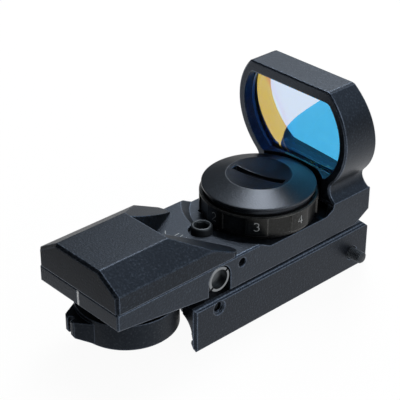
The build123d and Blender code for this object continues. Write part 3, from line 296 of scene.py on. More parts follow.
def anodised(name, black, rough, settings, level, sheen=None, burnished=1.0, fineness=1.0):
    """Anodised aluminium, glass-bead blasted and dyed black.

    The blasting leaves a fine even grain that breaks up highlights, and the hard clear oxide over
    the dyed layer gives a cool satin sheen. The grain's tone is painted light: darker in the dimples
    as painted shade, and paler on their flanks and tops as painted highlights. Corners are burnished,
    so they mirror more strongly; their paler colour is partly wear and partly a painted highlight.
    The dimples are drawn four to six times as wide as real ones, which would be too fine to show.

    level is how strongly the oxide mirrors, sheen the tint of what it mirrors, burnished how strongly
    the corners are bared and painted with highlight, and fineness how many times smaller than the usual
    ones the dimples are.
    """
    # Grain tones: painted shade in the dimples, painted highlights on their flanks and tops
    pit_shade, facet_highlight, glint = (scaled(black, share) for share in (0.5, 2.2, 6.0))
    bare_lift, bare_share, burnished_level = 0.03, 1.5, 2.4
    cloud_width, clouding, least_worn = 7 * MM, 0.15, 0.35
    # Paler colour of the corners: partly bared metal, partly a painted highlight along the edges
    bared_and_highlit = tuple(min(1.0, bare_lift + bare_share * c) for c in black)
    material, tree = new_material(name)
    place = place_on(tree)
    grain = noise(tree, place, settings.blast_grain / fineness, rough=0.6)
    cloud = noise(tree, place, cloud_width, detail=3.0)
    mask, rounded = edge_mask(tree, settings.edge_width)
    mottle = maths(tree, "ADD", grain, maths(tree, "MULTIPLY", cloud, clouding))
    # Painted light: the grain darkens in the dimples and brightens on their flanks and tops
    shade = ramp(tree, mottle, [(0.46, pit_shade), (0.57, black), (0.68, facet_highlight), (0.8, glint)])
    patchy = ramp(tree, grain, [(0.3, (least_worn * burnished,) * 3), (0.62, (burnished,) * 3)])
    # Corners that are worn and painted with highlight; it also raises their real gloss
    wear_and_highlight = maths(tree, "MULTIPLY", mask, patchy)
    principled(tree, {
        "Base Color": mix(tree, wear_and_highlight, shade, bared_and_highlit),
        "Roughness": spread(tree, grain, rough - 0.05, rough + 0.05),
        "Normal": bump(tree, grain, settings.blast_depth / fineness, 0.8, Normal=rounded),
        "IOR": 1.5,
        "Specular IOR Level": spread(tree, wear_and_highlight, level, burnished_level),
        "Specular Tint": (*(sheen or settings.sheen_tint), 1.0),
    })
    return material


def turned_steel(name, tone, rough, settings):
    """Metal turned on a lathe, with fine rings round its axis that spread highlights."""
    speck_width, ring_depth = 0.3 * MM, 0.004 * MM
    material, tree = new_material(name)
    place = place_on(tree)
    rings = add(tree, "ShaderNodeTexWave", {"Vector": place, "Scale": 0.5 / settings.turning_step,
                                            "Distortion": 0.4, "Detail": 1.0},
                wave_type="RINGS", rings_direction="Z").outputs["Fac"]
    speck = noise(tree, place, speck_width, detail=3.0)
    principled(tree, {
        "Base Color": speckled(tree, speck, tone, 0.86),
        "Metallic": 1.0,
        "Roughness": spread(tree, rings, rough - 0.06, rough + 0.06),
        "Normal": bump(tree, rings, ring_depth),
    })
    return material


def rimmed_steel(name, tone, recess, radius, centre, settings):
    """Steel turned on a lathe about an X axis: its own grey on the rim, and darker in the recess as painted
    shade.
    """
    relief = 0.2  # depth of a ring as a share of the turning step
    rim_start, rim_full = radius - 0.1 * MM, radius + 0.05 * MM
    material, tree = new_material(name)
    shifted = vector_maths(tree, "SUBTRACT", place_on(tree), centre)
    across = vector_maths(tree, "MULTIPLY", shifted, (0, 1, 1))
    reach = vector_maths(tree, "LENGTH", across, result="Value")
    rings = maths(tree, "PINGPONG", reach, settings.turning_step)
    rim = spread(tree, reach, 0.0, 1.0, rim_start, rim_full)
    principled(tree, {
        # Painted shade: the recess is coloured darker than the rim
        "Base Color": mix(tree, rim, recess, tone),
        "Metallic": 1.0,
        "Roughness": 0.3,
        "Normal": bump(tree, rings, relief, 0.35),
    })
    return material


def black_oxide(name, settings):
    """Alloy steel with a black oxide coat: dark, slightly oily sheen, with paler edges, partly rubbed and
    partly a painted highlight on the crests.
    """
    speck_width, edge_width = 0.25 * MM, 0.12 * MM
    material, tree = new_material(name)
    speck = noise(tree, place_on(tree), speck_width, detail=3.0)
    mask, rounded = edge_mask(tree, edge_width)
    tone = tuple(settings.black_oxide)
    principled(tree, {
        # Paler along edges and thread crests: partly rubbed metal, partly a painted highlight
        "Base Color": mix(tree, mask, speckled(tree, speck, tone, 0.7), scaled(tone, 4.5)),
        "Metallic": 0.5,
        "Roughness": spread(tree, speck, 0.38, 0.48),
        "Normal": rounded,
    })
    return material


def moulded(name, tone, rough, grain_mm):
    """A moulded or painted surface: even colour with a faint mottle and a fine skin texture."""
    skin_depth = 0.01 * MM
    material, tree = new_material(name)
    skin = noise(tree, place_on(tree), grain_mm * MM)
    principled(tree, {
        "Base Color": speckled(tree, skin, tone, 0.88),
        "Roughness": spread(tree, skin, rough - 0.04, rough + 0.04),
        "Normal": bump(tree, skin, skin_depth),
    })
    return material


def circuit_board(name):
    """Glass-epoxy board under green solder mask, with paler tracks and tinned pads."""
    track, pad, pad_share = 2.4 * MM, 1.6 * MM, 0.16
    material, tree = new_material(name)
    place = place_on(tree)
    tracks = add(tree, "ShaderNodeTexBrick", {
        "Vector": place, "Scale": 1 / track, "Mortar Size": 0.06, "Color1": (*linear("#0c4a2a"), 1.0),
        "Color2": (*linear("#0a3f24"), 1.0), "Mortar": (*linear("#2a7a4c"), 1.0)})
    pads = add(tree, "ShaderNodeTexVoronoi", {"Vector": place, "Scale": 1 / pad})
    tinned = maths(tree, "LESS_THAN", pads.outputs["Distance"], pad_share)
    principled(tree, {
        "Base Color": mix(tree, tinned, tracks.outputs["Color"], linear("#c8c8c4")),
        "Metallic": tinned,
        "Roughness": 0.35,
    })
    return material


def bare_glass(name, tint, mirror):
    """Clear polished glass, thin enough to let sight and light straight through, with a faint gloss."""
    material, tree = new_material(name)
    shade = speckled(tree, noise(tree, place_on(tree), GLASS_STRIAE), tint, 0.985)
    through = add(tree, "ShaderNodeBsdfTransparent", {"Color": shade})
    gloss = add(tree, "ShaderNodeBsdfGlossy", {"Roughness": 0.02})
    both = add(tree, "ShaderNodeMixShader", {0: mirror, 1: through.outputs[0], 2: gloss.outputs[0]})
    close(tree, both.outputs[0])
    return material


def solid_glass(name):
    """Optical glass, ground and polished: clear, bending what shows behind it.

    Its narrow edge, which faces away from the line of sight, is painted with dark lacquer.
    """
    edge_cosine = 0.6
    material, tree = new_material(name)
    striae = noise(tree, place_on(tree), GLASS_STRIAE)
    clear = ramp(tree, striae, [(0.3, linear("#f9fcfc")), (0.7, linear("#fdfefe"))])
    facing = add(tree, "ShaderNodeSeparateXYZ", {0: add(tree, "ShaderNodeTexCoord").outputs["Normal"]})
    face = maths(tree, "GREATER_THAN", maths(tree, "ABSOLUTE", facing.outputs["Y"]), edge_cosine)
    principled(tree, {
        "Base Color": mix(tree, face, linear("#0c1c30"), clear),
        "Roughness": 0.0,
        "IOR": 1.52,
        "Transmission Weight": face,
    })
    return material


def dichroic(name, settings):
    """Dichroic coating, evaporated on the lens: it mirrors yellow and red and passes cyan light.

    The coat grows thinner from left to right, which turns what it passes from blue to cyan and what it
    mirrors from yellow to orange. The deeper blue that it passes at the far left is painted shade,
    which darkens what shows through the lens there. Its bands lean to the left as they rise. Their
    places are from the middle, at the height of the lens's top.
    """
    thin_start, thin_full = -12.2 * MM, -11.0 * MM
    thick_start, thick_full = -9.0 * MM, -18.0 * MM
    drift_width = 30 * MM
    material, tree = new_material(name)
    place = place_on(tree)
    even = speckled(tree, noise(tree, place, drift_width, detail=0.0), tuple(settings.passed), 0.97)
    along = add(tree, "ShaderNodeSeparateXYZ", {0: place})
    sunk = maths(tree, "SUBTRACT", along.outputs["Z"], LENS_HIGH.z)
    across = maths(tree, "ADD", along.outputs["X"], maths(tree, "MULTIPLY", sunk, settings.coat_slant))
    thin = spread(tree, across, 0.0, 1.0, thin_start, thin_full)
    thick = spread(tree, across, 0.0, 1.0, thick_start, thick_full)
    # Painted shade: the deeper blue at the left darkens what shows through the lens there
    shade = mix(tree, thick, even, settings.passed_thick_shaded)
    back = ramp(tree, thin, [(0.0, settings.mirrored), (1.0, settings.mirrored_thin)])
    through = add(tree, "ShaderNodeBsdfTransparent", {"Color": shade})
    mirror = add(tree, "ShaderNodeBsdfGlossy", {"Color": back, "Roughness": 0.015})
    both = add(tree, "ShaderNodeAddShader", {0: through.outputs[0], 1: mirror.outputs[0]})
    close(tree, both.outputs[0])
    return material


def insulated_wire(name, split):
    """Two PVC-covered wires, extruded, with a soft gloss: dark brown left of split and black right of it."""
    material, tree = new_material(name)
    side = add(tree, "ShaderNodeSeparateXYZ", {0: place_on(tree)})
    which = maths(tree, "GREATER_THAN", side.outputs["X"], split)
    principled(tree, {"Base Color": mix(tree, which, linear("#1d0d0c"), linear("#151515")), "Roughness": 0.4})
    return material


def dress(node, material):
    """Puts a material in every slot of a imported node."""
    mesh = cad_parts[node].data
    if not mesh.materials:
        mesh.materials.append(material)
    for i in range(len(mesh.materials)):
        mesh.materials[i] = material


# ---------------------------------------------------------------- objects and meshes

def link(name, data):
    """Links a new object to the scene."""
    made = bpy.data.objects.new(name, data)
    bpy.context.scene.collection.objects.link(made)
    return made


def aim(made, place, target):
    """Puts a camera or lamp at a place and points it at a target."""
    made.location = place
    made.rotation_mode = "QUATERNION"
    made.rotation_quaternion = (target - Vector(place)).to_track_quat("-Z", "Y")


def piece(name, vertices, faces, material, body, sharp=0.6):
    """Links a mesh as a smooth-shaded piece with sharp edges past an angle, and rides it on a body."""
    mesh = bpy.data.meshes.new(name)
    mesh.from_pydata([tuple(v) for v in vertices], [], faces)
    work = bmesh.new()
    work.from_mesh(mesh)
    bmesh.ops.remove_doubles(work, verts=work.verts, dist=1e-8)
    bmesh.ops.recalc_face_normals(work, faces=work.faces)
    for face in work.faces:
        face.smooth = True
    for edge in work.edges:
        edge.smooth = edge.calc_face_angle(0.0) < sharp
    work.to_mesh(mesh)
    work.free()
    mesh.materials.append(material)
    made = link(name, mesh)
    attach(made, body)
    return made


def lathe_x(rows, sides, centre):
    """Vertices and faces of a closed body round an X axis, from (x, radius or radius(angle)) rows."""
    vertices = []
    faces = []
    for x, radius in rows:
        for k in range(sides):
            angle = 2 * math.pi * k / sides
            r = radius(angle) if callable(radius) else radius
            vertices.append((x, centre[0] + r * math.cos(angle), centre[1] + r * math.sin(angle)))
    for i in range(len(rows) - 1):
        for k in range(sides):
            n = (k + 1) % sides
            faces.append((i * sides + k, i * sides + n, (i + 1) * sides + n, (i + 1) * sides + k))
    faces.append(tuple(range(sides)))
    faces.append(tuple((len(rows) - 1) * sides + k for k in range(sides)))
    return vertices, faces


def hexagon(apothem):
    """The radius of a hexagon at each angle."""
    sixth = math.pi / 3
    return lambda angle: apothem / math.cos((angle % sixth) - sixth / 2)


def thread_radius(x, settings):
    """The radius of a right-handed thread at x, by angle, for one row of a lathe body.

    Its flanks rise in a straight line between flat roots and flat crests.
    """
    overshoot, steepness = 1.7, 3.6

    def radius(angle):
        turn = (x / settings.pitch - angle / (2 * math.pi)) % 1.0
        rise = min(1.0, max(0.0, overshoot - abs(turn - 0.5) * steepness))
        return settings.minor + (settings.major - settings.minor) * rise
    return radius


def ribbon(points, width, closed=False):
    """The left and right edges of a flat stroke of even width along 2-D points, with square ends."""
    left = []
    right = []
    count = len(points)
    for i, point in enumerate(points):
        before = points[(i - 1) % count] if closed or i > 0 else point
        after = points[(i + 1) % count] if closed or i < count - 1 else point
        run = (after[0] - before[0], after[1] - before[1])
        size = math.hypot(*run)
        normal = (-run[1] / size, run[0] / size)
        left.append((point[0] + normal[0] * width / 2, point[1] + normal[1] * width / 2))
        right.append((point[0] - normal[0] * width / 2, point[1] - normal[1] * width / 2))
    return left, right


def stroke_solid(points, width, closed, mapped):
    """A thin closed bar along a stroke.

    mapped(u, v, level) places a point on the metal: level 0 is sunk under it and level 1 is the top.
    """
    left, right = ribbon(points, width, closed)
    count = len(points)
    vertices = []
    for level in (0, 1):
        vertices += [mapped(u, v, level) for u, v in left]
        vertices += [mapped(u, v, level) for u, v in right]
    low_left, low_right, top_left, top_right = 0, count, 2 * count, 3 * count
    faces = []
    spans = count if closed else count - 1
    for i in range(spans):
        n = (i + 1) % count
        faces.append((top_left + i, top_right + i, top_right + n, top_left + n))
        faces.append((low_left + i, low_left + n, low_right + n, low_right + i))
        faces.append((low_left + i, top_left + i, top_left + n, low_left + n))
        faces.append((low_right + i, low_right + n, top_right + n, top_right + i))
    if not closed:
        for i in (0, count - 1):
            faces.append((low_left + i, low_right + i, top_right + i, top_left + i))
    return vertices, faces


def joined(parts):
    """One list of vertices and faces from several."""
    vertices = []
    faces = []
    for more_vertices, more_faces in parts:
        shift = len(vertices)
        vertices += more_vertices
        faces += [tuple(i + shift for i in face) for face in more_faces]
    return vertices, faces


def arc(cx, cy, rx, ry, start, end, steps=14):
    """Points of an elliptical arc, with its angles in degrees from +u, anticlockwise."""
    turns = [math.radians(start + (end - start) * i / steps) for i in range(steps + 1)]
    return [(cx + rx * math.cos(t), cy + ry * math.sin(t)) for t in turns]


def figures():
    """The engraver's strokes of 0 to 7 in a box one high, centred on (0, 0): (points, closed)."""
    return {
        0: [(arc(0, 0, 0.27, 0.46, 90, 430, 28), True)],
        1: [([(-0.16, 0.28), (0.05, 0.46), (0.05, -0.46)], False)],
        2: [(arc(0, 0.19, 0.26, 0.27, 160, -30, 12) + [(-0.26, -0.46), (0.28, -0.46)], False)],
        3: [(arc(-0.02, 0.22, 0.25, 0.24, 150, -80, 12)
             + arc(-0.02, -0.22, 0.28, 0.25, 80, -150, 14), False)],
        4: [([(0.12, -0.46), (0.12, 0.46), (-0.3, -0.18), (0.3, -0.18)], False)],
        5: [([(0.24, 0.46), (-0.2, 0.46), (-0.24, 0.06)]
             + arc(-0.02, -0.17, 0.27, 0.28, 120, -145, 16), False)],
        6: [(arc(0.02, 0.0, 0.3, 0.46, 60, 180, 10)
             + arc(0.0, -0.19, 0.27, 0.27, 170, -180, 22), False)],
        7: [([(-0.27, 0.46), (0.27, 0.46), (-0.08, -0.46)], False)],
    }


# ---------------------------------------------------------------- operators

class FINDER_OT_anodised(Operator):
    """Give the housing, cover, dial, cap, mount and selector their black anodised finish"""

    bl_idname = "finder.anodised"
    bl_label = "Anodised parts"

    def execute(self, context):
        s = context.scene.finder_finish
        blasted = "Anodised aluminium, bead blasted, "
        dress("main_housing", anodised(blasted + "body", s.body_black, 0.36, s, 0.42))
        dress("emitter_cover", anodised(blasted + "cover", s.cover_black, 0.4, s, 0.25))
        dress("brightness_dial", anodised(blasted + "dial", s.selector_black, 0.33, s, 0.28,
                                          sheen=(1.0, 1.0, 0.96), burnished=0.35))
        dress("battery_cap", anodised(blasted + "cap", s.cover_black, 0.32, s, 0.5,
                                      sheen=(0.74, 0.84, 1.0), burnished=0.3, fineness=1.35))
        mount = anodised(blasted + "mount", s.mount_black, 0.4, s, 0.3)
        dress("mount_base", mount)
        dress("clamp_jaw", mount)
        dress("reticle_selector", anodised("Anodised aluminium, matt, selector", s.selector_black, 0.5, s, 0.3))
        return {"FINISHED"}


class FINDER_OT_plain_metal(Operator):
    """Give the pins, springs, plates, screws and contacts their metal finishes"""

    bl_idname = "finder.plain_metal"
    bl_label = "Plain metal parts"

    recess: length("Windage recess", "Radius of the recess in the windage screw's head", 2.45)

    def execute(self, context):
        s = context.scene.finder_finish
        ground = turned_steel("Spring steel, drawn and ground", s.steel, 0.3, s)
        for node in ("elevation_spring", "windage_spring", "pitch_pin", "selector_detent", "dial_detent",
                     "reticle_shaft", "reticle_disc", "dial_retainer", "disc_screw", "retainer_screw"):
            dress(node, ground)
        dress("swivel_plate", turned_steel("Aluminium, milled", linear("#c3c4c6"), 0.38, s))
        dress("coin_cell", turned_steel("Steel, nickel plated", linear("#cfcdc8"), 0.22, s))
        brass = turned_steel("Spring brass, stamped", linear("#c9a85c"), 0.3, s)
        for node in ("dial_wiper", "battery_contact"):
            dress(node, brass)
        low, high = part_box("windage_screw")
        # The darker colour given for the recess is painted shade
        dress("windage_screw", rimmed_steel("Stainless steel, turned, windage screw", linear("#7d8083"),
                                            linear("#55585b"), self.recess, tuple((low + high) / 2), s))
        dress("lock_screw", turned_steel("Stainless steel, turned, lock screw", linear("#a9abad"), 0.3, s))
        oxide = black_oxide("Alloy steel, black oxide", s)
        for node in ("elevation_screw", "yaw_stud", "selector_screw", "cover_screws"):
            dress(node, oxide)
        return {"FINISHED"}


class FINDER_OT_electrics(Operator):
    """Give the boards, emitter, wires and seal their finishes"""

    bl_idname = "finder.electrics"
    bl_label = "Emitter and wiring"

    def execute(self, context):
        board = circuit_board("Glass epoxy board, solder masked")
        for node in ("led_board", "dial_board"):
            dress(node, board)
        dress("led", moulded("Epoxy, cast, red", linear("#b3201a"), 0.15, 0.8))
        low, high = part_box("led_wires")
        dress("led_wires", insulated_wire("PVC wire cover, extruded", (low.x + high.x) / 2))
        dress("cap_seal", moulded("Nitrile rubber, moulded", linear("#121212"), 0.6, 0.4))
        return {"FINISHED"}


class FINDER_OT_glass(Operator):
    """Give the lens, window and fold mirror their glass, and the lens its coating and beads of cement"""

    bl_idname = "finder.glass"
    bl_label = "Lens and glass"

    axis_height: length("Hood axis height", "Height of the axis of the hood's round sides", 39.6)
    inset: length("Coating inset", "How far the coating stops short of the lens's edge", 0.02)

    def execute(self, context):
        s = context.scene.finder_optics
        dress("lens", solid_glass("Optical glass, polished"))
        dress("emitter_window", bare_glass("Window glass, polished", linear("#f4f8f8"), s.glass_mirror))
        dress("fold_mirror", turned_steel("Glass, silvered", linear("#dfe1e2"), 0.08,
                                          context.scene.finder_finish))
        self.lay_coating(s)
        self.cement()
        return {"FINISHED"}

    def cement(self):
        """Small beads of cement along the foot of the lens, the largest at the ends of the row.

        They are set on the edge's surface, sunk in it by a little. Their pale cyan is a painted glint:
        the colour of the cyan light that reaches them.
        """
        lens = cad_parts["lens"]
        count, first, step = 27, -5.0 * MM, 0.4 * MM
        wobble, wobble_turn = 0.08 * MM, 3.1
        smallest, swell, stand = 0.15 * MM, 0.09 * MM, 0.6
        row_y = LENS_LOW.y + 2 * MM
        parts = []
        for i in range(count):
            x = first + step * i + wobble * math.sin(wobble_turn * i)
            radius = smallest + swell * abs(math.cos(math.pi * i / (count - 1)))
            outside = Vector((x, row_y, LENS_LOW.z))
            _found, edge, _normal, _face = lens.closest_point_on_mesh(outside)
            parts.append(self.bead(edge + (outside - edge).normalized() * radius * stand, radius))
        vertices, faces = joined(parts)
        # Painted glint: the beads are coloured the pale cyan of the light that passes the lens
        cement = moulded("Epoxy cement, cured, painted cyan glint", linear("#7fd6e8"), 0.2, 0.3)
        piece("lens_cement", vertices, faces, cement, "sight")

    def bead(self, centre, radius):
        """A closed round bead, eight-sided about an X axis."""
        bands, sides = 6, 8
        x, y, z = centre
        vertices = [(x - radius, y, z), (x + radius, y, z)]
        for i in range(1, bands):
            tilt = math.pi * i / bands
            for k in range(sides):
                turn = 2 * math.pi * k / sides
                reach = radius * math.sin(tilt)
                vertices.append((x - radius * math.cos(tilt), y + reach * math.cos(turn),
                                 z + reach * math.sin(turn)))
        last = 2 + (bands - 2) * sides
        faces = []
        for k in range(sides):
            n = (k + 1) % sides
            faces += [(0, 2 + n, 2 + k), (1, last + k, last + n)]
            for i in range(bands - 2):
                row = 2 + i * sides
                faces.append((row + k, row + n, row + sides + n, row + sides + k))
        return vertices, faces

    def lay_coating(self, s):
        """A round shell just behind the hollow rear face, whose lean is found by rays at three heights."""
        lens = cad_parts["lens"]
        middle_z = (LENS_LOW.z + LENS_HIGH.z) / 2
        start_y = LENS_LOW.y - 5 * MM
        reach = 8 * MM
        hits = []
        for z in (middle_z - reach, middle_z, middle_z + reach):
            found, place, _normal, _face = lens.ray_cast(Vector((0, start_y, z)), Vector((0, 1, 0)))
            if not found:
                raise RuntimeError("the lens has no rear face at its middle")
            hits.append(place)
        chord = (hits[2] - hits[0]).normalized()
        axis = Vector((0, chord.z, -chord.y))
        apex = hits[1] - axis * s.coating_stand_off
        centre = apex - axis * s.mirror_radius
        rings, count = 26, 144
        outline = self.outline(count)
        vertices = []
        faces = []
        for i in range(1, rings + 1):
            for u, w in outline:
                x = u * i / rings
                z = middle_z + (w - middle_z) * i / rings
                y = centre.y + math.sqrt(s.mirror_radius**2 - x**2 - (z - centre.z)**2)
                vertices.append((x, y, z))
        vertices.append((0, apex.y, middle_z))
        for i in range(rings - 1):
            for k in range(count):
                n = (k + 1) % count
                faces.append((i * count + k, i * count + n, (i + 1) * count + n, (i + 1) * count + k))
        faces += [(len(vertices) - 1, (k + 1) % count, k) for k in range(count)]
        coat = dichroic("Dichroic coating, evaporated", s)
        piece("lens_coating", vertices, faces, coat, "sight")

    def outline(self, count):
        """The lens's edge as seen along its axis, from its own box: two round sides and two flats."""
        radius = LENS_HIGH.x - self.inset
        top = LENS_HIGH.z - self.inset
        bottom = LENS_LOW.z + self.inset
        points = []
        for k in range(count):
            angle = 2 * math.pi * (k + 0.5) / count
            x = radius * math.cos(angle)
            z = self.axis_height + radius * math.sin(angle)
            for flat, sign in ((top, 1), (bottom, -1)):
                over = (z - flat) * sign
                if over > 0:
                    reach = (flat - self.axis_height) * sign
                    x = reach / abs(math.tan(angle)) * (1 if x > 0 else -1)
                    z = flat
            points.append((x, z))
        return points


class FINDER_OT_dial_figures(Operator):
    """Engrave the figures 0 to 7 round the brightness dial and fill them with pale grey paint"""

    bl_idname = "finder.dial_figures"
    bl_label = "Dial figures"

    def execute(self, context):
        s = context.scene.finder_figures
        paint = moulded("Enamel, wiped into engraving, white", tuple(s.paint), 0.45, 0.2)
        middle_z = DIAL_LOW.z + s.centre_height
        shapes = figures()
        parts = []
        for number, strokes in shapes.items():
            turn = s.third_angle + 2 * math.pi / len(shapes) * (number - 3)
            for points, closed in strokes:
                path = [(u * s.height, v * s.height) for u, v in points]
                if closed:
                    path.pop()
                parts.append(stroke_solid(path, s.stroke, closed, self.wrap(turn, middle_z, s.proud)))
        vertices, faces = joined(parts)
        piece("dial_figures", vertices, faces, paint, "dial")
        return {"FINISHED"}

    def wrap(self, turn, middle_z, proud):
        """Places a point of a figure on the dial's wall, level 0 a little inside it."""
        def mapped(u, v, level):
            angle = turn + u / DIAL_RADIUS
            reach = DIAL_RADIUS + (proud if level else -2 * proud)
            return (DIAL_X + reach * math.sin(angle), DIAL_Y - reach * math.cos(angle), middle_z + v)
        return mapped


class FINDER_OT_ticks(Operator):
    """Scribe the short ticks on the deck beside the elevation screw, and fill the rear index line"""

    bl_idname = "finder.ticks"
    bl_label = "Deck ticks and index line"

    def execute(self, context):
        s = context.scene.finder_figures
        pale = moulded("Aluminium, scribed bare", tuple(s.tick_paint), 0.4, 0.2)
        white = moulded("Enamel, wiped into the index line, white", tuple(s.index_paint), 0.45, 0.2)
        # The ends of each tick: x from the middle and y from the rear face, in mm
        lines = [((-2.46, 30.72), (-2.55, 32.15)), ((-1.24, 31.39), (-1.43, 32.37)),
                 ((-0.05, 32.13), (-0.07, 32.35)), ((-5.6, 30.55), (-4.55, 29.63))]
        parts = []
        for ends in lines:
            points = [(x * MM, REAR_Y + y * MM) for x, y in ends]
            parts.append(stroke_solid(points, s.tick_width, False, self.on_deck(s.proud)))
        vertices, faces = joined(parts)
        piece("deck_ticks", vertices, faces, pale, "sight")
        points = [(0, s.index_foot), (0, DECK_Z - s.index_gap)]
        vertices, faces = stroke_solid(points, s.index_width, False, self.on_rear(s.index_depth))
        piece("index_line", vertices, faces, white, "sight")
        return {"FINISHED"}

    def on_deck(self, proud):
        """Places a point of a tick on the deck, level 0 a little inside it."""
        return lambda u, v, level: (u, v, DECK_Z + (proud if level else -2 * proud))

    def on_rear(self, depth):
        """Places a point of the index line in its groove, filled to a little under the rear face."""
        filled, sunk = 0.3 * depth, 1.1 * depth
        return lambda u, v, level: (u, REAR_Y + (filled if level else sunk), v)


class FINDER_OT_clamp_screws(Operator):
    """Cut the clamp screws' threads and sockets, and the thread in the right jaw"""

    bl_idname = "finder.clamp_screws"
    bl_label = "Clamp screws and threads"

    socket: length("Socket", "Width of the hexagon socket across its flats", 2.5)
    socket_depth: length("Socket depth", "Depth of the hexagon socket", 1.5)
    head_height: length("Head height", "Height of the screws' heads", 3.0)
    edge: length("Edge", "Rounding of the screws' heads and taper of their tips", 0.3)
    countersink: FloatProperty(name="Countersink", default=1.17, min=1.0,
                               description="Width of the socket's mouth over its width across the flats")
    cone: length("Cone", "Depth of the drilled cone at the socket's bottom", 0.4)
    centre_hole: length("Centre", "Radius of the small flat where a lathe body closes on its axis", 0.02)
    thread_start: length("Thread start", "Where the thread begins, right of the middle", 8.0)
    mouth: length("Mouth", "How far the jaw's thread stops short of its face", 0.38)
    play: length("Play", "Gap between the screw's end and the jaw's bare thread", 0.1)
    wall: length("Wall", "How far the jaw's thread reaches into the metal", 0.08)

    def execute(self, context):
        s = context.scene.finder_threads
        oxide = bpy.data.materials["Alloy steel, black oxide"]
        for node, body in (("front_clamp_screw", "front_clamp"), ("rear_clamp_screw", "rear_clamp")):
            low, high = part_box(node)
            centre = ((low.y + high.y) / 2, (low.z + high.z) / 2)
            vertices, faces = lathe_x(self.rows(low.x, high.x, (high.y - low.y) / 2, s), s.sides, centre)
            made = piece(node + "_threaded", vertices, faces, oxide, body)
            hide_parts(node)
        self.jaw_thread(s)
        return {"FINISHED"}

    def rows(self, left, right, head, s):
        """The screw from the middle of its socket, over its head and along its shank to its tip."""
        apothem = self.socket / 2
        floor = left + self.socket_depth
        seat = left + self.head_height
        rows = [(floor + self.cone, self.centre_hole), (floor, hexagon(apothem)),
                (left + self.edge / 2, hexagon(apothem)), (left, apothem * self.countersink),
                (left, head - self.edge), (left + self.edge, head), (seat, head), (seat, s.major),
                (self.thread_start, s.major)]
        step = s.pitch / 8
        count = int((right - self.edge - self.thread_start) / step)
        rows += [(self.thread_start + step * i, thread_radius(step * i, s)) for i in range(1, count + 1)]
        rows += [(right - self.edge / 2, s.minor), (right, s.minor - self.edge), (right, self.centre_hole)]
        return rows

    def jaw_thread(self, s):
        """The thread that shows in the right jaw's rear hole, past the end of the screw."""
        low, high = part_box("rear_clamp_screw")
        centre = ((low.y + high.y) / 2, (low.z + high.z) / 2)
        mouth = JAW_FACE_X - self.mouth
        start = high.x + self.play
        step = s.pitch / 8
        count = int((mouth - start) / step)
        outer = s.major + self.wall
        rows = [(start, outer)]
        rows += [(start + step * i, thread_radius(step * i, s)) for i in range(count + 1)]
        rows += [(mouth, outer), (start, outer)]
        vertices, faces = lathe_x(rows, s.sides, centre)
        metal = bpy.data.materials["Anodised aluminium, bead blasted, mount"]
        piece("jaw_thread", vertices, faces[:-2], metal, "mount")


